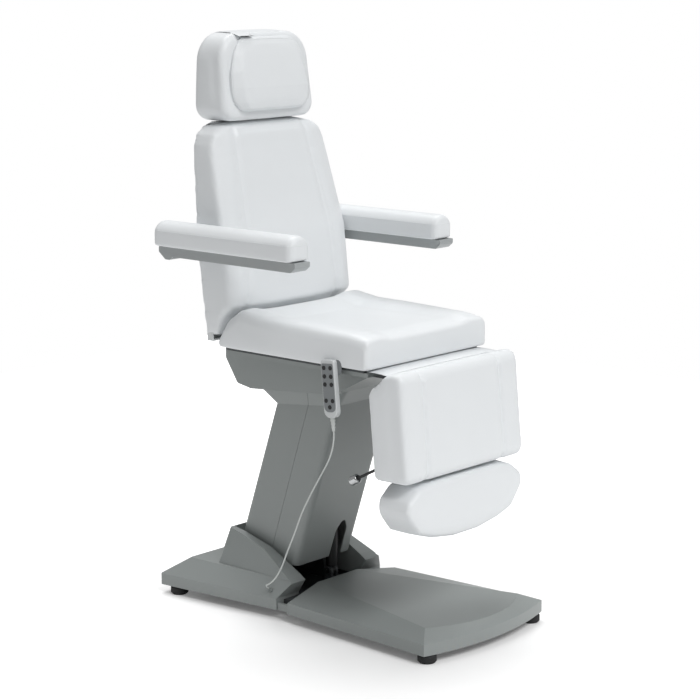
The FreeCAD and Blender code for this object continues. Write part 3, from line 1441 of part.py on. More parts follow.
def leg_pocket(clearance):
    """Room in the cushion's rear for the frame; with a clearance, the same room made smaller."""
    down, forward = leg_lean()
    top = vec(0, leg_rear_top[0], leg_rear_top[1]) + down * (leg_rear_top[1] - leg_pocket_top)
    foot = vec(0, leg_rear_foot[0], leg_rear_foot[1]) + down * overrun
    depth = forward_sign() * (leg_pocket_depth - clearance)
    back = forward_sign() * -overrun
    corners = [top + forward * back, top + forward * depth, foot + forward * depth, foot + forward * back]
    corners = [(corner.y, corner.z) for corner in corners]
    half = leg_pocket_half_width - clearance
    return side_plate(corners, [0] * 4, -half, half)


def forward_sign():
    return 1 if leg_lean()[1].y < 0 else -1


def leg_place(depth, length):
    """Place a given depth in front of the legrest's rear face and a length down from its top corner."""
    down, forward = leg_lean()
    spot = vec(0, leg_rear_top[0], leg_rear_top[1]) + down * length + forward * (forward_sign() * depth)
    return spot


def lean_slab(x0, x1, depth0, depth1, length0, length1):
    """Box that lies along the legrest's lean."""
    spots = [leg_place(depth0, length0), leg_place(depth1, length0), leg_place(depth1, length1), leg_place(depth0, length1)]
    return side_plate([(spot.y, spot.z) for spot in spots], [0] * 4, x0, x1)


def legrest_frame():
    """Board with two guide tubes for the footrest, and the hinge lugs."""
    lug_end = seat_rail_x - side_clearance
    board_rear = leg_pocket_depth - leg_board_thick - side_clearance
    board_front = leg_pocket_depth - side_clearance
    half = leg_pocket_half_width - side_clearance
    start = leg_rear_top[1] - leg_pocket_top + pin_head
    end = start + guide_length
    pieces = [lean_slab(-half, half, board_rear, board_front, start + leg_board_drop, end)]
    for x in (guide_x, -guide_x):
        low, high = leg_place(guide_depth(), end), leg_place(guide_depth(), start + leg_board_drop / 2)
        pieces.append(rod_between(vec(x, low.y, low.z), vec(x, high.y, high.z), guide_radius))
    far = leg_place(board_rear, start + overrun * 1.5)
    near = leg_place(board_rear, start)
    below = leg_place(board_front, start + leg_board_drop)
    lug = side_plate([(front_hinge[0] + hinge_radius * 0.7, front_hinge[1]), (front_hinge[0] - hinge_radius * 0.7, front_hinge[1]),
                      (near.y, near.z), (below.y, below.z), (far.y, far.z), (far.y + hinge_radius, far.z)],
                     [0] * 6, lug_x, lug_end)
    pieces += both(lug) + both(bar_x(front_hinge, hinge_radius, lug_x, lug_end))
    ear_inner = -release_x + release_hub_radius + side_clearance
    ear_length = leg_rear_top[1] - release_pivot[1]
    pieces.append(lean_slab(ear_inner, ear_inner + lever_thickness, 0, board_front, ear_length - release_hub_radius,
                            ear_length + release_hub_radius))
    pieces.append(bar_x(release_pivot, release_pin_radius, -release_x - release_hub_radius, ear_inner + lever_thickness))
    frame = join(pieces)
    for x in (guide_x, -guide_x):
        low, high = leg_place(guide_depth(), end + overrun), leg_place(guide_depth(), start - overrun)
        frame = frame.cut(rod_between(vec(x, low.y, low.z), vec(x, high.y, high.z), slider_radius + running_fit))
    return frame.cut(bar_x(front_hinge, hinge_pin_radius + running_fit, -overrun * 5, overrun * 5))


def guide_depth():
    return leg_pocket_depth - leg_board_thick - guide_radius * 0.7


def foot_section(x, top, bottom, inset):
    corners = [(foot_rear_y_top - inset, bottom + inset), (foot_rear_y_top - inset, top - inset),
               (foot_front_y_top + inset, top - inset), (foot_front_y_top + inset, bottom + inset)]
    corner = min((top - bottom - inset * 2) * 0.3, foot_corner)
    return side_wire(corners, [corner * 0.4, corner * 0.4, corner, corner], x)


def footrest_cushion():
    """Leaf-shaped cushion: a level top that falls at its ends and a bowed underside."""
    draw = foot_draw
    stations = [(foot_half_width, foot_end_top, foot_bottoms[3] + 4, draw * 0.6), (foot_half_width * 0.97, foot_end_top + 14, foot_bottoms[3] - 12, 2),
                (foot_bottom_xs[2], foot_top - 9, foot_bottoms[2], 0), (foot_bottom_xs[1] * 1.3, foot_top - 1, foot_bottoms[1] + 9, 0),
                (foot_bottom_xs[1] * 0.5, foot_top, foot_bottoms[0] + 1, 0)]
    wires = [foot_section(-x, top, bottom, inset) for x, top, bottom, inset in stations]
    wires += [foot_section(x, top, bottom, inset) for x, top, bottom, inset in reversed(stations)]
    body = loft(wires)
    pocket = block(-guide_x - overrun, guide_x + overrun, foot_rear_y_top - foot_pocket_depth, foot_rear_y_top + overrun,
                   foot_bottoms[1] + overrun, foot_top + overrun)
    return body.cut(pocket)


def footrest_frame():
    """Carriage plate behind the footrest with two slider tubes that run in the legrest."""
    half = guide_x + overrun - side_clearance
    low = foot_bottoms[1] + overrun + side_clearance
    front = foot_rear_y_top - foot_pocket_depth + side_clearance
    plate = block(-half, half, front, front + plate_thickness, low, foot_top - overrun / 2)
    length = leg_rear_top[1] - foot_top
    pieces = [plate]
    for x in (guide_x, -guide_x):
        foot, top = leg_place(guide_depth(), length + overrun * 1.6), leg_place(guide_depth(), length - slider_length)
        pieces.append(rod_between(vec(x, foot.y, foot.z), vec(x, top.y, top.z), slider_radius))
        seat = block(x - slider_radius, x + slider_radius, front, foot.y, low, foot_top - overrun / 2)
        pieces.append(seat)
    return join(pieces)


def release_lever():
    start, end = vec(-release_x, *release_pivot), vec(-release_x, *release_end)
    hub = bar_x(release_pivot, release_hub_radius, -release_x - release_hub_radius, -release_x + release_hub_radius)
    lever = join([rod_between(start, end, lever_rod_radius), hub])
    return lever.cut(bar_x(release_pivot, release_pin_radius + running_fit, -release_x - overrun, -release_x + overrun))


def release_knob():
    start, end = vec(-release_x, *release_pivot), vec(-release_x, *release_end)
    line = end - start
    line.normalize()
    knob = rod_between(end + line * 0, end + line * knob_length, knob_radius)
    return knob.makeFillet(knob_radius * 0.45, [knob.Edges[0], knob.Edges[2]])


def sub_parts():
    """Every sub-part's name with the function that makes it."""
    makers = {
        "base_frame": base_frame, "front_cover": front_cover, "rear_cover": rear_cover,
        "levelling_feet": levelling_feet, "control_box": control_box, "mains_inlet": mains_inlet,
        "base_pins": base_pins, "cord_gland": cord_gland, "handset_cord": handset_cord,
        "cord_strain_relief": cord_strain_relief,
        "lift_arm": lift_arm, "arm_bushes": arm_bushes,
        "column_front_cover": lambda: column_cover(True), "column_rear_cover": lambda: column_cover(False),
        "tie_link": tie_link, "lift_actuator": lift_actuator, "lift_actuator_rod": lift_actuator_rod,
        "seat_carrier": seat_carrier, "carrier_pins": carrier_pins,
        "seat_frame": seat_frame, "hinge_pins": hinge_pins, "seat_housing": seat_housing,
        "legrest_flap": legrest_flap, "seat_cushion": seat_cushion,
        "tilt_actuator": tilt_actuator, "tilt_actuator_rod": tilt_actuator_rod,
        "back_actuator": back_actuator, "back_actuator_rod": back_actuator_rod,
        "handset_hook": handset_hook, "handset_shell": handset_shell, "handset_face": handset_face,
        "back_frame": back_frame, "back_shell": back_shell, "back_cushion": back_cushion,
        "armrest_bolts": armrest_bolts, "head_bars": head_bars, "head_plate": head_plate,
        "head_cushion": head_cushion, "head_pillow": head_pillow, "pillow_strap": pillow_strap,
        "left_arm_pad": lambda: arm_pad(1), "right_arm_pad": lambda: arm_pad(-1),
        "left_arm_rail": lambda: arm_rail(1), "right_arm_rail": lambda: arm_rail(-1),
        "legrest_frame": legrest_frame, "legrest_cushion": legrest_cushion,
        "footrest_frame": footrest_frame, "footrest_cushion": footrest_cushion,
        "release_lever": release_lever, "release_knob": release_knob,
    }
    for index, place in enumerate(button_places()):
        makers["button_" + str(index + 1)] = lambda place=place: button(place)
    return makers


def main():
    os.makedirs("parts", exist_ok=True)
    for name, make in sub_parts().items():
        save(make(), name)


main()
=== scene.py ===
# %% [markdown]
# # A powered podiatry chair
#
# The chair's hard parts come from a measured CAD frame: base, lift column, seat frame, housing,
# armrest rails and handset. This lesson adds what the frame can't show: foam cushions in white
# vinyl, sewn channels, the handset's hanging cord, real finishes, studio light and a camera.
# Everything is in metres. The sitter faces -Y and the floor is at Z = 0.

# %% Load the frame
import json
import math
from collections import namedtuple

import bmesh
import bpy
import numpy as np
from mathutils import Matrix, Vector
from mathutils.bvhtree import BVHTree


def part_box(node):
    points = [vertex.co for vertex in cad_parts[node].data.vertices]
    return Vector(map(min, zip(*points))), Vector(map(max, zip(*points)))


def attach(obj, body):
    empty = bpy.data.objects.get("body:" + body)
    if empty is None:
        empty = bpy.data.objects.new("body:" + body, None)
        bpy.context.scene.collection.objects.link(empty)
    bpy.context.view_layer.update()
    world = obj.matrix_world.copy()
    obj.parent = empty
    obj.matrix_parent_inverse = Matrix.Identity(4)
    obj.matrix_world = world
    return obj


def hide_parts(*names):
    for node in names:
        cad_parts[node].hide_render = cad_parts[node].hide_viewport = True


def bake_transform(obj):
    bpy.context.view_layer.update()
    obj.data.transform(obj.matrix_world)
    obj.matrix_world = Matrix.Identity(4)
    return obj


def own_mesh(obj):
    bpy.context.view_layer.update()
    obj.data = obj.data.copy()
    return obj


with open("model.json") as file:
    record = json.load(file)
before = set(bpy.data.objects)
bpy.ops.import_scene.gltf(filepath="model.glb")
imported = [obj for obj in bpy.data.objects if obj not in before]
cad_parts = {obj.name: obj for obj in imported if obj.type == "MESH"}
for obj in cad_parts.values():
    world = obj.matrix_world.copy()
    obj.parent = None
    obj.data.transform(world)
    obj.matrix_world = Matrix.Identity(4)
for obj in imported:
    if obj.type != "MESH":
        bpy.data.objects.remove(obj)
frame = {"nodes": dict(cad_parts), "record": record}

scene = bpy.context.scene
nodes = frame["nodes"]
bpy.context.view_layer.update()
MM = 0.001

# %% [markdown]
# ## Small tools
#
# `linear` turns an sRGB hex colour into the linear values that shaders use. `add_node` makes one
# shader node, sets its options and fills or links its inputs, so that every material reads as a
# short list of steps.

# %% Colour and node tools


def linear(code):
    """Linear RGBA of an sRGB hex: c / 12.92 below 0.04045, else ((c + 0.055) / 1.055) ** 2.4."""
    parts = [int(code[i:i + 2], 16) / 255 for i in (1, 3, 5)]
    return [c / 12.92 if c <= 0.04045 else ((c + 0.055) / 1.055) ** 2.4 for c in parts] + [1.0]


def add_node(tree, kind, inputs=None, **options):
    """One shader node with its options set and its inputs given a value or a link."""
    node = tree.nodes.new(kind)
    for name, value in options.items():
        setattr(node, name, value)
    for key, value in (inputs or {}).items():
        if isinstance(value, bpy.types.NodeSocket):
            tree.links.new(value, node.inputs[key])
        else:
            node.inputs[key].default_value = value
    return node


# %% [markdown]
# ## Finishes
#
# Each finish starts from the real material and how its surface was made. `finish` builds one
# Principled shader with three layers read from object coordinates, so their sizes are real
# millimetres: slow cloudiness in the colour, small changes in roughness, and a fine grain that
# bends the light. `stretch` draws the grain out along one axis, as brushing does.

# %% Finish builder


def finish(name, colour, roughness, grain, bump, metallic=0.0, cloud=0.035, cloud_size=60.0, spread=0.06,
           stretch=(1, 1, 1), cells=False):
    """Material with `grain` mm texture, `bump` mm deep, and `cloud` colour change over `cloud_size` mm."""
    material = bpy.data.materials.new(name)
    material.use_nodes = True
    tree = material.node_tree
    tree.nodes.clear()
    place = add_node(tree, "ShaderNodeTexCoord").outputs["Object"]
    fine_place = add_node(tree, "ShaderNodeMapping", {"Vector": place, "Scale": stretch}).outputs["Vector"]
    slow = add_node(tree, "ShaderNodeTexNoise", {"Vector": place, "Scale": 1 / (cloud_size * MM),
                                                 "Detail": 3.0})
    kind = "ShaderNodeTexVoronoi" if cells else "ShaderNodeTexNoise"
    fine = add_node(tree, kind, {"Vector": fine_place, "Scale": 1 / (grain * MM)})
    fine_out = fine.outputs["Distance"] if cells else fine.outputs["Fac"]
    low, high = [[c * (1 + side * cloud) for c in linear(colour)[:3]] + [1.0] for side in (-1, 1)]
    # the colour sockets of a Mix node share their names with its other types, so they go by place
    tint = add_node(tree, "ShaderNodeMix", {"Factor": slow.outputs["Fac"], 6: low, 7: high},
                    data_type="RGBA")
    gloss = add_node(tree, "ShaderNodeMapRange", {"Value": slow.outputs["Fac"], "To Min": roughness - spread,
                                                  "To Max": roughness + spread})
    relief = add_node(tree, "ShaderNodeBump", {"Height": fine_out, "Strength": 1.0, "Distance": bump * MM})
    shader = add_node(tree, "ShaderNodeBsdfPrincipled", {
        "Base Color": tint.outputs[2], "Roughness": gloss.outputs["Result"],
        "Normal": relief.outputs["Normal"], "Metallic": metallic})
    add_node(tree, "ShaderNodeOutputMaterial", {"Surface": shader.outputs["BSDF"]})
    return material


# %% [markdown]
# ## The chair's materials
#
# The upholstery is calendered vinyl on foam, a cool white with a leather-like grain. The covers
# are vacuum-formed plastic sheet in mid grey, satin from the mould. The rails are satin paint,
# pins and rods are ground steel, and the handset is injection-moulded plastic with rubber keys.

# %% Make the materials
finishes = {
    # calendered vinyl: satin, with shallow pebble cells about a millimetre across
    "upholstery_white": finish("calendered_vinyl_white", "#e4e7e9", 0.42, 1.1, 0.05, cells=True,
                               cloud=0.012),
    # woven-backed vinyl strap: a little duller than the cushions
    "strap_white": finish("vinyl_strap_white", "#dfe2e4", 0.5, 0.8, 0.05, cloud=0.015),
    # vacuum-formed ABS sheet: satin with faint orange peel
    "cover_grey": finish("vacuum_formed_abs_grey", "#8d9291", 0.38, 2.2, 0.03, cloud=0.03, cloud_size=140),
    "cover_white": finish("vacuum_formed_abs_white", "#dcdfe0", 0.38, 2.2, 0.03, cloud=0.015),
    # injection-moulded ABS: fine spark-eroded texture
    "plastic_white": finish("moulded_abs_grey", "#8a8f8e", 0.45, 0.5, 0.03),
    "handset_grey": finish("moulded_abs_light_grey", "#c9cccd", 0.36, 0.4, 0.02, cloud=0.02, cloud_size=30),
    "face_dark": finish("printed_keypad_grey", "#7c8082", 0.48, 0.3, 0.01, cloud=0.02, cloud_size=20),
    "button_black": finish("silicone_key_black", "#151617", 0.55, 0.4, 0.02, cloud=0.05, cloud_size=8),
    "plastic_black": finish("moulded_abs_black", "#161718", 0.5, 0.6, 0.03),
    # moulded rubber: matt, slightly chalky
    "foot_black": finish("moulded_rubber_black", "#1d1e1f", 0.72, 0.7, 0.05, cloud=0.08, cloud_size=15),
    # epoxy powder coat: satin with orange peel
    "frame_steel": finish("powder_coat_dark_grey", "#45484a", 0.5, 1.4, 0.06, cloud=0.04),
    "bracket_grey": finish("powder_coat_grey", "#7b7f81", 0.45, 1.2, 0.05),
    "lever_black": finish("enamel_black_rod", "#141516", 0.35, 1.0, 0.02),
    # satin lacquer on an aluminium extrusion: fine lines along its length
    "rail_grey": finish("satin_lacquer_grey", "#a2a6a7", 0.34, 0.8, 0.01, stretch=(1, 0.04, 1), cloud=0.02),
    # ground and turned steel
    "pin_steel": finish("ground_steel", "#a9acae", 0.28, 0.3, 0.01, metallic=1.0, stretch=(0.1, 1, 1)),
    "rod_steel": finish("hard_chrome", "#c4c7c9", 0.14, 0.3, 0.004, metallic=1.0, spread=0.03),
    "bush_brass": finish("sintered_bronze", "#a9865a", 0.42, 0.3, 0.02, metallic=1.0),
    "knob_silver": finish("vacuum_plated_silver", "#c3c5c6", 0.22, 0.6, 0.008, metallic=1.0, spread=0.04),
    # extruded PVC sheath: smooth, softly glossy
    "cord_grey": finish("pvc_sheath_light_grey", "#c2c6c4", 0.4, 0.6, 0.01, cloud=0.02, cloud_size=30),
}
slot_of = {part["node"]: part["material_slot"] for part in frame["record"]["subparts"]}
for node, piece in nodes.items():
    for holder in piece.material_slots:
        holder.material = finishes[slot_of[node]]
print("finishes", len(finishes), "on", len(slot_of), "nodes")

# %% [markdown]
# ## Mesh tools
#
# `new_piece` turns numpy points and faces into an object. `tube` sweeps a circle along a path:
# at each point the ring's two axes are turned from the last ring's by as little as possible, so
# the tube doesn't twist.

# %% Pieces from numpy
# the first ring's axes are squared up from this direction, which no path starts along
ODD_DIRECTION = (0.31, 0.52, 0.79)


def new_piece(name, points, faces, slot, body):
    """Object with smooth faces that takes its finish from a slot and rides on a body, if it has one."""
    mesh = bpy.data.meshes.new(name)
    mesh.from_pydata(np.asarray(points, float).tolist(), [], [list(face) for face in faces])
    mesh.polygons.foreach_set("use_smooth", np.ones(len(mesh.polygons), bool))
    piece = bpy.data.objects.new(name, mesh)
    scene.collection.objects.link(piece)
    return dress(piece, slot, body)


def dress(piece, slot, body):
    """Give a piece its finish and its slot, and its body if one is given."""
    piece.data.materials.clear()
    piece.data.materials.append(finishes[slot])
    if body:
        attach(piece, body)
    return piece


def tube(path, radius, sides=12, closed=False):
    """Points and faces of a circle of `radius` swept along `path`: p + r (cos a u + sin a v)."""
    path = np.asarray(path, float)
    ahead = np.roll(path, -1, 0) if closed else np.vstack([path[1:], 2 * path[-1] - path[-2]])
    behind = np.roll(path, 1, 0) if closed else np.vstack([2 * path[0] - path[1], path[:-1]])
    along = ahead - behind
    along /= np.linalg.norm(along, axis=1)[:, None]
    side = np.cross(along[0], ODD_DIRECTION)
    sides_u = []
    for direction in along:
        side = side - direction * (side @ direction)
        side /= np.linalg.norm(side)
        sides_u.append(side)
    u = np.array(sides_u)
    v = np.cross(along, u)
    angle = np.linspace(0, 2 * np.pi, sides, endpoint=False)
    ring = np.cos(angle)[None, :, None] * u[:, None] + np.sin(angle)[None, :, None] * v[:, None]
    points = (path[:, None] + radius * ring).reshape(-1, 3)
    rows, count = len(path), len(path) if closed else len(path) - 1
    first = (np.arange(count)[:, None] * sides + np.arange(sides)[None]).ravel()
    turn = (np.arange(count)[:, None] * sides + (np.arange(sides)[None] + 1) % sides).ravel()
    total = rows * sides
    faces = np.stack([first, turn, (turn + sides) % total, (first + sides) % total], 1).tolist()
    if not closed:
        faces += [list(range(sides))[::-1], list(range(total - sides, total))]
    return points, faces


def surface_hits(piece, starts, directions):
    """Where rays from inside a closed piece leave it, and the surface's normals there."""
    mesh = piece.data
    tree = BVHTree.FromPolygons([v.co for v in mesh.vertices], [face.vertices for face in mesh.polygons])
    hits, normals = [], []
    for start, direction in zip(starts, directions):
        spot, normal, _, _ = tree.ray_cast(Vector(start), Vector(direction))
        if spot is not None:
            hits.append(spot)
            normals.append(normal)
    return np.array(hits), np.array(normals)


# %% [markdown]
# ## Foam cushions
#
# A cushion starts as an even mesh of its own space in the frame, smoothed and drawn in a little.
# The table gives each one's frame node and body, the size of its mesh cells, how far it is drawn
# in, how high its crown may rise, and the side that it rests on.

# %% Cushion settings
Cushion = namedtuple("Cushion", "node body voxel inset crown smoothing rest fill")
CUSHIONS = {
    # node, body, voxel mm, drawn in mm, crown mm, smoothing steps, resting side (axis, sign), fill
    "seat_upholstery": Cushion("seat_cushion", "seat", 6.5, 4.0, 3.0, 4, (2, -1), 0.8),
    "back_upholstery": Cushion("back_cushion", "back", 6.5, 5.0, 5.0, 5, (1, 1), 0.8),
    "headrest_upholstery": Cushion("head_cushion", "headrest", 5.0, 4.0, 4.0, 7, (1, 1), 0.8),
    "pillow_upholstery": Cushion("head_pillow", "headrest", 4.0, 2.0, 3.0, 2, (1, 1), 0.7),
    "left_pad_upholstery": Cushion("left_arm_pad", "left_armrest", 4.5, 2.0, 2.0, 3, (2, -1), 0.85),
    "right_pad_upholstery": Cushion("right_arm_pad", "right_armrest", 4.5, 2.0, 2.0, 3, (2, -1), 0.85),
    "legrest_upholstery": Cushion("legrest_cushion", "legrest", 6.0, 4.0, 3.5, 4, (1, 1), 0.8),
    "footrest_upholstery": Cushion("footrest_cushion", "footrest", 5.0, 3.0, 3.0, 3, (1, 1), 0.8),
}
print("cushions", len(CUSHIONS))

# %% [markdown]
# ## Start forms
#
# Four cushions are shaped a little more than their space in the frame. The backrest's cover is
# pulled round behind its shell, the headrest and its pillow lean back, and thin cheeks close the
# ends of the legrest's hinge hollow. Each shape is a function that moves the points.

# %% Start forms


def evaluated_mesh(piece):
    """The piece's mesh with its modifiers applied."""
    graph = bpy.context.evaluated_depsgraph_get()
    return bpy.data.meshes.new_from_object(piece.evaluated_get(graph))


def points_of(mesh, kind="co"):
    """The mesh's points, or its normals, as an array of rows."""
    values = np.empty(len(mesh.vertices) * 3, np.float32)
    if kind == "co":
        mesh.vertices.foreach_get("co", values)
    else:
        mesh.vertex_normals.foreach_get("vector", values)
    return values.reshape(-1, 3).astype(float)


def set_points(mesh, points):
    """Move the mesh's points to these rows."""
    mesh.vertices.foreach_set("co", np.asarray(points, np.float32).ravel())
    mesh.update()


def pull_round_back(points, reach=25.0, zone=12.0, band=30.0, widen=0.078, foot=0.80, full=1.06):
    """Rear face moved back: y + reach near the rear line y = a + b z. Sides moved out: x * (1 + widen s),
    where s rises from 0 at z = foot to 1 at z = full."""
    height = points[:, 2]
    ends = [points[height < height.min() + band * MM], points[height > height.max() - band * MM]]
    low, high = [end[np.argmax(end[:, 1])] for end in ends]
    rear = low[1] + (height - low[2]) * (high[1] - low[1]) / (high[2] - low[2])
    points[:, 1] += reach * MM * (points[:, 1] > rear - zone * MM)
    points[:, 0] *= 1 + widen * np.clip((height - foot) / (full - foot), 0, 1)


HEAD_LEAN = 0.12


def lean_back(points, slope=HEAD_LEAN, level=1.475, soft=0.05):
    """Front of the headrest leant back: y + slope (z - level), fading to nothing towards the rear."""
    low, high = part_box("head_cushion")
    share = np.clip((high.y - soft - points[:, 1]) / (high.y - soft - low.y), 0, 1)
    points[:, 1] += slope * (points[:, 2] - level) * share


def round_pillow(points, foot=0.13, top=0.05, foot_height=0.055, top_height=0.07):
    """Leant back, with a narrower foot and top: x * (1 - foot a**2 - top b**2), where a and b rise to 1
    at the lower and upper edge."""
    lean_back(points)
    low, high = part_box("head_pillow")
    a = np.clip((low.z + foot_height - points[:, 2]) / foot_height, 0, 1)
    b = np.clip((points[:, 2] - high.z + top_height) / top_height, 0, 1)
    points[:, 0] *= 1 - foot * a ** 2 - top * b ** 2


LEG_HINGE = np.array([-0.290, 0.745])


def fill_cheeks(points, outer=0.2465, hollow=0.040, corner=0.0115, facing=(-0.54, -0.8417)):
    """Ends of the hinge hollow filled, where |x| > outer: radius = corner / cos(angle from `facing`)."""
    place = points[:, 1:] - LEG_HINGE
    radius = np.linalg.norm(place, axis=1)
    share = np.clip(place @ np.array(facing) / radius, 0.05, 1)
    near = (radius < hollow) & (np.abs(points[:, 0]) > outer)
    points[near, 1:] = (LEG_HINGE + place * np.minimum(1, corner / share / radius)[:, None])[near]


RESHAPE = {"legrest_cushion": fill_cheeks, "back_cushion": pull_round_back, "head_cushion": lean_back,
           "head_pillow": round_pillow}


def start_form(name, cushion):
    """Even mesh of a node's space, smoothed, shaped and moved in along its normals by `inset` mm."""
    piece = bpy.data.objects.new(name, nodes[cushion.node].data.copy())
    scene.collection.objects.link(piece)
    piece.modifiers.new("even", "REMESH").voxel_size = cushion.voxel * MM
    smooth = piece.modifiers.new("smooth", "SMOOTH")
    smooth.iterations = cushion.smoothing
    mesh = evaluated_mesh(piece)
    piece.modifiers.clear()
    piece.data = mesh
    points = points_of(mesh)
    if cushion.node in RESHAPE:
        RESHAPE[cushion.node](points)
    set_points(mesh, points)
    set_points(mesh, points - points_of(mesh, "normal") * cushion.inset * MM)
    mesh.polygons.foreach_set("use_smooth", np.ones(len(mesh.polygons), bool))
    return piece


cushions = {}
for name, cushion in CUSHIONS.items():
    cushions[name] = start_form(name, cushion)
    print(name, len(cushions[name].data.vertices), "points")

# %% [markdown]
# ## Crowns
#
# Blender's cloth blows the closed skins up from inside. Only the swelling along the normals is
# kept. It is smoothed over neighbouring points and capped, and the skin goes back to its full size
# with that crown on it, so a cushion rises away from its edges as foam does under tight vinyl. The
# side that rests on a board gets no crown.

# %% Blow the cushions up
PRESSURE, CLOTH_MASS, CLOTH_QUALITY = 4.0, 0.3, 4
# a point is held still where its normal points at the board by more than this
RESTING = 0.85
# smoothing steps before and after the cap, and the percentile that counts as no rise
BROAD_STEPS, FINE_STEPS, FLAT_PERCENT = 25, 6, 25
# the crown's share is start - slope * n, from 0 to 1, where n is the normal's part towards the board
FADE_START, FADE_SLOPE = 1.6, 2


def spread_out(mesh, values, steps):
    """Values at the points, each turned `steps` times into the mean of its own and its neighbours'."""
    ends = np.empty(len(mesh.edges) * 2, np.int32)
    mesh.edges.foreach_get("vertices", ends)
    first, second = ends.reshape(-1, 2).T
    count = 1 + np.bincount(first, minlength=len(values)) + np.bincount(second, minlength=len(values))
    for _ in range(steps):
        near = np.bincount(first, values[second], len(values))
        near = near + np.bincount(second, values[first], len(values))
        values = (values + near) / count
    return values


def simulate(pieces, frames=20):
    """How far cloth with inside pressure swells along the normals, all pieces at once, without gravity."""
    starts = {}
    for name, piece in pieces.items():
        starts[name] = points_of(piece.data), points_of(piece.data, "normal")
        axis, side = CUSHIONS[name].rest
        group = piece.vertex_groups.new(name="held")
        group.add(np.flatnonzero(starts[name][1][:, axis] * side > RESTING).tolist(), 1.0, "REPLACE")
        cloth = piece.modifiers.new("cloth", "CLOTH")
        settings = cloth.settings
        settings.quality = CLOTH_QUALITY
        settings.mass = CLOTH_MASS
        settings.use_pressure = True
        settings.uniform_pressure_force = PRESSURE
        settings.vertex_group_mass = "held"
        settings.effector_weights.gravity = 0
        cloth.point_cache.frame_start = 1
        cloth.point_cache.frame_end = frames
    for number in range(1, frames + 1):
        scene.frame_set(number)
    swell = {}
    for name, piece in pieces.items():
        points, normals = starts[name]
        moves = points_of(evaluated_mesh(piece)) - points
        swell[name] = (moves * normals).sum(1)
        piece.modifiers.clear()
        piece.vertex_groups.clear()
    scene.frame_set(1)
    return swell


def blow_up(piece, swell, cushion):
    """Skin at its full size plus a crown: the swelling above its lower quarter, smoothed and capped."""
    axis, side = cushion.rest
    points, normals = points_of(piece.data), points_of(piece.data, "normal")
    rise = spread_out(piece.data, swell, BROAD_STEPS)
    rise = np.clip(rise - np.percentile(rise, FLAT_PERCENT), 0, cushion.crown * MM)
    rise *= np.clip(FADE_START - FADE_SLOPE * normals[:, axis] * side, 0, 1)
    out = cushion.inset * MM + spread_out(piece.data, rise, FINE_STEPS)
    set_points(piece.data, points + normals * out[:, None])
    print(piece.name, "crowned by up to", round(rise.max() / MM, 1), "mm")


swelling = simulate(cushions)
for name, cushion in CUSHIONS.items():
    flat = np.zeros(len(cushions[name].data.vertices))
    blow_up(cushions[name], swelling.get(name, flat), cushion)

# %% [markdown]
# ## Sewn channels
#
# A channel is a line of stitches that pulls the vinyl into the foam. It is pressed in after the
# remesh, which would lose it: a point at distance d from the line moves in by
# depth * exp(-(d / width) ** 2), and only where the surface faces the sitter.

# %% Press the channels in
CHANNELS = {
    # name: low z, half gap there, high z, half gap there (m), depth mm, width mm
    "back_upholstery": (0.80, 0.192, 1.383, 0.142, 4.5, 8.0),
    "legrest_upholstery": (0.47, 0.166, 0.77, 0.166, 3.0, 7.0),
}
# the press's share is slope * n - offset, from 0 to 1, where n is the normal's part towards the sitter
FACING_SLOPE, FACING_OFFSET = 1.6, 0.3
for name, (low_z, low_gap, high_z, high_gap, depth, width) in CHANNELS.items():
    mesh = cushions[name].data
    points, normals = points_of(mesh), points_of(mesh, "normal")
    gap = low_gap + (points[:, 2] - low_z) * (high_gap - low_gap) / (high_z - low_z)
    away = (np.abs(points[:, 0]) - gap) / (width * MM)
    facing = np.clip(-normals[:, 1] * FACING_SLOPE - FACING_OFFSET, 0, 1)
    press = depth * MM * np.exp(-away ** 2) * facing
    set_points(mesh, points - normals * press[:, None])
    print(name, "channels pressed by up to", round(press.max() / MM, 1), "mm")

# %% [markdown]
# ## Cushions in place
#
# Each skin is divided once more, takes the vinyl of its node's slot, rides on its body and stands
# for the plain solid, which is then hidden.

# %% Finish the cushions
for name, cushion in CUSHIONS.items():
    piece = cushions[name]
    even = piece.modifiers.new("round", "SUBSURF")
    even.levels = even.render_levels = 1
    dress(piece, slot_of[cushion.node], cushion.body)
    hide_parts(cushion.node)
print("cushions in place", len(cushions))

# %% [markdown]
# ## Piping
#
# Where two sheets of vinyl meet, a thin cord in a folded strip covers the seam. Rays from a line
# inside the cushion find its skin, and a tube follows those places, sunk by a share of its radius.

# %% Piping
SUNK_SHARE = 0.3


def piping(name, on, centre, reach, axes, radius, count=160, lean=0.0):
    """Closed tube on a skin, where rays from c + (a cos t, b sin t) along two axes leave it. `lean` tips
    their plane: y grows by lean times the way along the second axis."""
    piece = cushions[on]
    t = np.linspace(0, 2 * np.pi, count, endpoint=False)
    starts = np.tile(np.asarray(centre, float), (count, 1))
    directions = np.zeros((count, 3))
    half_a, half_b = reach
    starts[:, axes[0]] += half_a * np.cos(t)
    starts[:, axes[1]] += half_b * np.sin(t)
    directions[:, axes[0]] = np.cos(t)
    directions[:, axes[1]] = np.sin(t)
    starts[:, 1] += lean * half_b * np.sin(t)
    directions[:, 1] += lean * np.sin(t)
    hits, normals = surface_hits(piece, starts, directions)
    path = hits - normals * radius * SUNK_SHARE * MM
    for _ in range(3):
        path = (np.roll(path, 1, 0) + 2 * path + np.roll(path, -1, 0)) / 4
    new_piece(name, *tube(path, radius * MM, sides=8, closed=True), "upholstery_white", CUSHIONS[on].body)
    print(name, len(hits), "places")


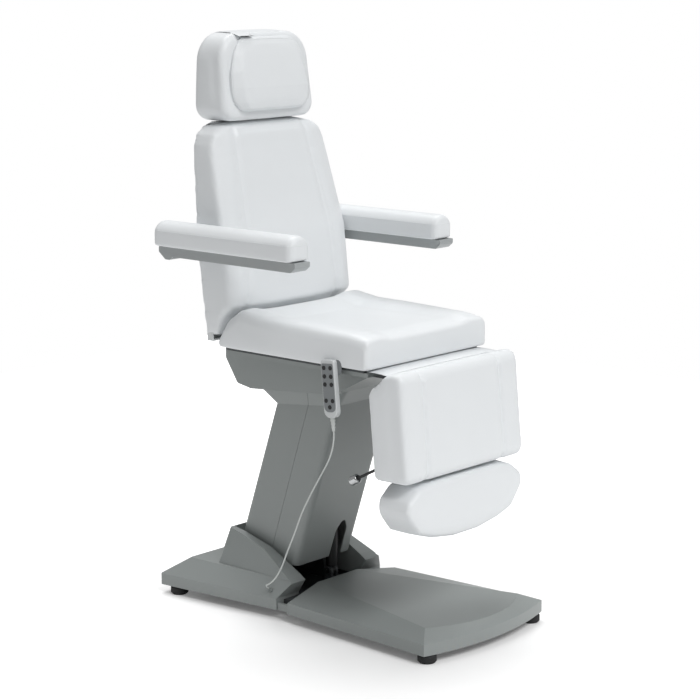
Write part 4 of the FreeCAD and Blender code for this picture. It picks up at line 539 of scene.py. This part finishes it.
# half lengths of the ellipses that the rays start from, in metres, and the tubes' radii in mm
PILLOW_CORE, PAD_CORE_HALF = (0.05, 0.03), 0.004
PILLOW_RADIUS, PAD_RADIUS = 1.6, 1.3
PILLOW_SHIFT = 0.0045
pillow_low, pillow_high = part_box("head_pillow")
pillow_middle = (pillow_low + pillow_high) / 2
for name, depth in (("pillow_rear_piping", 1.5), ("pillow_front_piping", 9.0)):
    centre = (0, pillow_high.y + PILLOW_SHIFT - depth * MM, pillow_middle.z)
    piping(name, "pillow_upholstery", centre, PILLOW_CORE, (0, 2), PILLOW_RADIUS, lean=HEAD_LEAN)
PAD_END, PAD_SEAM_DROP = 0.04, 0.026
for side in ("left", "right"):
    pad_low, pad_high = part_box(side + "_arm_pad")
    pad_middle = (pad_low + pad_high) / 2
    half_length = (pad_high.y - pad_low.y) / 2 - PAD_END
    centre = (pad_middle.x, pad_middle.y, pad_high.z - PAD_SEAM_DROP)
    piping(side + "_pad_piping", side + "_pad_upholstery", centre, (PAD_CORE_HALF, half_length), (0, 1),
           PAD_RADIUS, count=240)

# %% [markdown]
# ## Strap and flap
#
# The pillow hangs on a flat vinyl strap that goes over the headrest's top. The flap is a thin
# vinyl-covered board that bridges the gap between seat and legrest. Both are flat things, so they
# are modelled directly.

# %% Strap and flap


def ribbon(name, path, low_x, high_x, thick, slot, body, rows=15):
    """Flat band across X along a (y, z) path, with soft edges: thickness falls off as (1 - t**6)."""
    path = np.asarray(path, float)
    along = np.gradient(path, axis=0)
    along /= np.linalg.norm(along, axis=1)[:, None]
    out = np.stack([along[:, 1], -along[:, 0]], 1)
    t = np.linspace(-1, 1, rows)
    x = (low_x + high_x) / 2 + t * (high_x - low_x) / 2
    lift = thick / 2 * (1 - np.abs(t) ** 6)
    points = []
    for sign in (1, -1):
        shifted = path[:, None] + sign * out[:, None] * lift[None, :, None]
        points.append(np.dstack([np.broadcast_to(x, shifted.shape[:2]), shifted]))
    points = np.stack(points)
    count = len(path) * rows
    cell = (np.arange(len(path) - 1)[:, None] * rows + np.arange(rows - 1)).ravel()
    top = np.stack([cell, cell + 1, cell + rows + 1, cell + rows], 1)
    under = np.stack([cell, cell + rows, cell + rows + 1, cell + 1], 1) + count
    piece = new_piece(name, points.reshape(-1, 3), np.vstack([top, under]).tolist(), slot, body)
    mesh = bmesh.new()
    mesh.from_mesh(piece.data)
    bmesh.ops.holes_fill(mesh, edges=[edge for edge in mesh.edges if edge.is_boundary], sides=0)
    bmesh.ops.recalc_face_normals(mesh, faces=mesh.faces)
    mesh.to_mesh(piece.data)
    mesh.free()
    return piece


def smooth_path(corners, count):
    """Points along a line through corners, rounded by a Chaikin cut at each corner."""
    path = np.asarray(corners, float)
    for _ in range(3):
        cut = np.empty((2 * len(path) - 2, path.shape[1]))
        cut[0::2] = path[:-1] * 0.75 + path[1:] * 0.25
        cut[1::2] = path[:-1] * 0.25 + path[1:] * 0.75
        path = np.vstack([path[:1], cut, path[-1:]])
    step = np.linalg.norm(np.diff(path, axis=0), axis=1)
    length = np.concatenate([[0], np.cumsum(step)])
    even = np.linspace(0, length[-1], count)
    return np.stack([np.interp(even, length, path[:, i]) for i in range(path.shape[1])], 1)


strap_low, strap_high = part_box("pillow_strap")
head_low, head_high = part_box("head_cushion")
STRAP_INSET, STRAP_THICK = 0.008, 0.002
strap_path = smooth_path([
    (strap_low.y + 0.018, strap_high.z - 0.012), (head_low.y + 0.034, strap_high.z - 0.003),
    (head_low.y + 0.055, strap_high.z - 0.0012), (head_high.y - 0.012, strap_high.z - 0.0012),
    (strap_high.y - 0.001, head_high.z - 0.018), (strap_high.y - 0.001, strap_low.z)], 40)
strap = ribbon("pillow_band", strap_path, strap_low.x + STRAP_INSET, strap_high.x - STRAP_INSET,
               STRAP_THICK, "strap_white", "headrest")
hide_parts("pillow_strap")

flap_low, flap_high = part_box("legrest_flap")
FLAP_PROUD, FLAP_SIDE_INSET, FLAP_THICK = 0.009, 0.0055, 0.0056
FLAP_BEND_REAR, FLAP_BEND_FRONT = -0.285, -0.308
flap_path = smooth_path([
    (flap_high.y, flap_high.z - 0.003), (FLAP_BEND_REAR, flap_high.z - 0.0026),
    (FLAP_BEND_FRONT, flap_high.z - 0.0028), (flap_low.y - FLAP_PROUD, flap_high.z - 0.0048)], 20)
flap = ribbon("hinge_flap", flap_path, flap_low.x + FLAP_SIDE_INSET, flap_high.x - FLAP_SIDE_INSET,
              FLAP_THICK, "upholstery_white", "seat", rows=60)
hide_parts("legrest_flap")
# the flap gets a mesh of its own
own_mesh(flap)
print("strap", len(strap.data.vertices), "points, flap", len(flap.data.vertices), "points")

# %% [markdown]
# ## The handset's cord
#
# A thin round cord leaves the strain relief, hangs past the column and goes back into the gland on
# the base. Its line is a NURBS curve of order 3 on the route's points. It crosses three joints
# between the seat and the base, so it is three spans that meet end to end. Each span ends where
# the line reaches a given height, and rides on no body.

# %% Cord
CORD_DIAMETER = 0.0045
CORD_ROUTE = [
    (-0.2698, -0.16869, 0.5909), (-0.2698, -0.17135, 0.56328), (-0.273, -0.156, 0.51),
    (-0.276, -0.120, 0.452), (-0.276, -0.086, 0.398), (-0.274, -0.052, 0.34), (-0.271, -0.026, 0.283),
    (-0.27, 0.003, 0.225), (-0.271, 0.025, 0.172), (-0.268, 0.054, 0.132), (-0.258, 0.088, 0.108),
    (-0.23661, 0.122, 0.09472), (-0.22304, 0.122, 0.08289)]


def nurbs_points(route, resolution=16):
    """Points along a NURBS curve of order 3 with these control points."""
    curve = bpy.data.curves.new("cord_line", "CURVE")
    curve.dimensions = "3D"
    line = curve.splines.new("NURBS")
    line.points.add(len(route) - 1)
    line.points.foreach_set("co", np.hstack([route, np.ones((len(route), 1))]).ravel())
    line.order_u = 3
    line.use_endpoint_u = True
    line.resolution_u = resolution
    holder = bpy.data.objects.new("cord_line", curve)
    scene.collection.objects.link(holder)
    bpy.context.view_layer.update()
    mesh = bpy.data.meshes.new_from_object(holder)
    bpy.data.objects.remove(holder)
    return points_of(mesh)


CORD_SPANS = (
    # name, upper body, lower body, height of the lower end
    ("handset_lead", "seat", "carrier", 0.515),
    ("handset_lead_middle", "carrier", "lift_arm", 0.225),
    ("handset_lead_lower", "lift_arm", "base", 0.0),
)
cord_line = nurbs_points(CORD_ROUTE)
first = 0
for name, upper, lower, height in CORD_SPANS:
    last = int(np.argmin(np.abs(cord_line[:, 2] - height)))
    span = cord_line[first:last + 1]
    cord = new_piece(name, *tube(span, CORD_DIAMETER / 2, sides=14), "cord_grey", None)
    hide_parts("handset_cord")
    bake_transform(cord)
    first = last

# %% [markdown]
# ## Floor
#
# The picture has a pure white background and a soft grey shadow round the base. The floor is matt
# white and adds some white of its own that only the camera sees, more of it further out: its
# strength follows a smooth step of the distance from the base.

# %% Floor
FLOOR_REACH = 3.4
SHADOW_CENTRE, SHADOW_NEAR, SHADOW_FAR = (-0.05, -0.5, 0), 0.85, 1.35
GLOW_NEAR, GLOW_FAR = 0.10, 0.6
floor_corners = [(x * FLOOR_REACH, y * FLOOR_REACH, 0) for x, y in ((-1, -1), (1, -1), (1, 1), (-1, 1))]
floor_mesh = bpy.data.meshes.new("floor")
floor_mesh.from_pydata(floor_corners, [], [(0, 1, 2, 3)])
floor = bpy.data.objects.new("floor", floor_mesh)
scene.collection.objects.link(floor)
paper = bpy.data.materials.new("white_studio_floor")
paper.use_nodes = True
tree = paper.node_tree
tree.nodes.clear()
seen = add_node(tree, "ShaderNodeLightPath").outputs["Is Camera Ray"]
matt = add_node(tree, "ShaderNodeBsdfDiffuse", {"Color": linear("#f4f4f4")})
place = add_node(tree, "ShaderNodeTexCoord").outputs["Object"]
aside = add_node(tree, "ShaderNodeVectorMath", {0: place, 1: SHADOW_CENTRE}, operation="DISTANCE")
edge = add_node(tree, "ShaderNodeMapRange", {
    "Value": aside.outputs["Value"], "From Min": SHADOW_NEAR, "From Max": SHADOW_FAR,
    "To Min": GLOW_NEAR, "To Max": GLOW_FAR}, interpolation_type="SMOOTHSTEP")
glow_power = add_node(tree, "ShaderNodeMath", {0: seen, 1: edge.outputs["Result"]}, operation="MULTIPLY")
glow = add_node(tree, "ShaderNodeEmission", {
    "Color": (1, 1, 1, 1), "Strength": glow_power.outputs["Value"]})
both = add_node(tree, "ShaderNodeAddShader", {0: matt.outputs["BSDF"], 1: glow.outputs["Emission"]})
add_node(tree, "ShaderNodeOutputMaterial", {"Surface": both.outputs["Shader"]})
floor_mesh.materials.append(paper)
print("floor", 2 * FLOOR_REACH, "m wide")

# %% [markdown]
# ## Light
#
# The world is white to the camera and dimmer as light. Two broad suns add form: one high in front,
# and one overhead from behind, which lights the tops and lays the shadow in front of the base.

# %% Light
WORLD_LIGHT, LAMP_DISTANCE = 0.38, 4
world = bpy.data.worlds.new("studio")
scene.world = world
world.use_nodes = True
tree = world.node_tree
tree.nodes.clear()
path = add_node(tree, "ShaderNodeLightPath")
seen = add_node(tree, "ShaderNodeMath", {
    0: path.outputs["Is Camera Ray"], 1: path.outputs["Is Transmission Ray"]}, operation="MAXIMUM")
power = add_node(tree, "ShaderNodeMapRange", {"Value": seen.outputs["Value"], "To Min": WORLD_LIGHT,
                                              "To Max": 1.0})
sky = add_node(tree, "ShaderNodeBackground", {"Color": (1, 1, 1, 1), "Strength": power.outputs["Result"]})
add_node(tree, "ShaderNodeOutputWorld", {"Surface": sky.outputs["Background"]})


def soft_sun(name, come_from, strength, spread):
    """Even light from a direction, with shadows as soft as a source `spread` degrees wide gives."""
    data = bpy.data.lights.new(name, "SUN")
    data.energy = strength
    data.angle = math.radians(spread)
    lamp = bpy.data.objects.new(name, data)
    lamp.rotation_euler = Vector(come_from).to_track_quat("Z", "Y").to_euler()
    lamp.location = Vector(come_from) * LAMP_DISTANCE
    scene.collection.objects.link(lamp)
    print(name, "sun", strength, "W/m2")


soft_sun("front_key", (-0.05, -0.66, 0.75), 1.66, 30)
soft_sun("overhead_rear", (0.26, 0.36, 0.89), 1.4, 34)

# %% [markdown]
# ## Camera
#
# The camera stands where a fit to the picture's corners puts it, turned and raised by two angles
# round a point on the chair, with a long lens.

# %% Camera
AZIMUTH, ELEVATION, DISTANCE = math.radians(48.69), math.radians(10.79), 5.993
SENSOR_MM, LENS_MM = 36, 109.3
camera = bpy.data.objects.new("camera", bpy.data.cameras.new("camera"))
scene.collection.objects.link(camera)
camera.data.sensor_width = SENSOR_MM
camera.data.lens = LENS_MM
target = Vector((0, 0.0101, 0.7522))
level = math.cos(ELEVATION)
away = Vector((-math.sin(AZIMUTH) * level, -math.cos(AZIMUTH) * level, math.sin(ELEVATION)))
camera.location = target + away * DISTANCE
camera.rotation_euler = (-away).to_track_quat("-Z", "Y").to_euler()
scene.camera = camera
scene.view_settings.view_transform = "Standard"
print("camera", [round(v, 3) for v in camera.location])
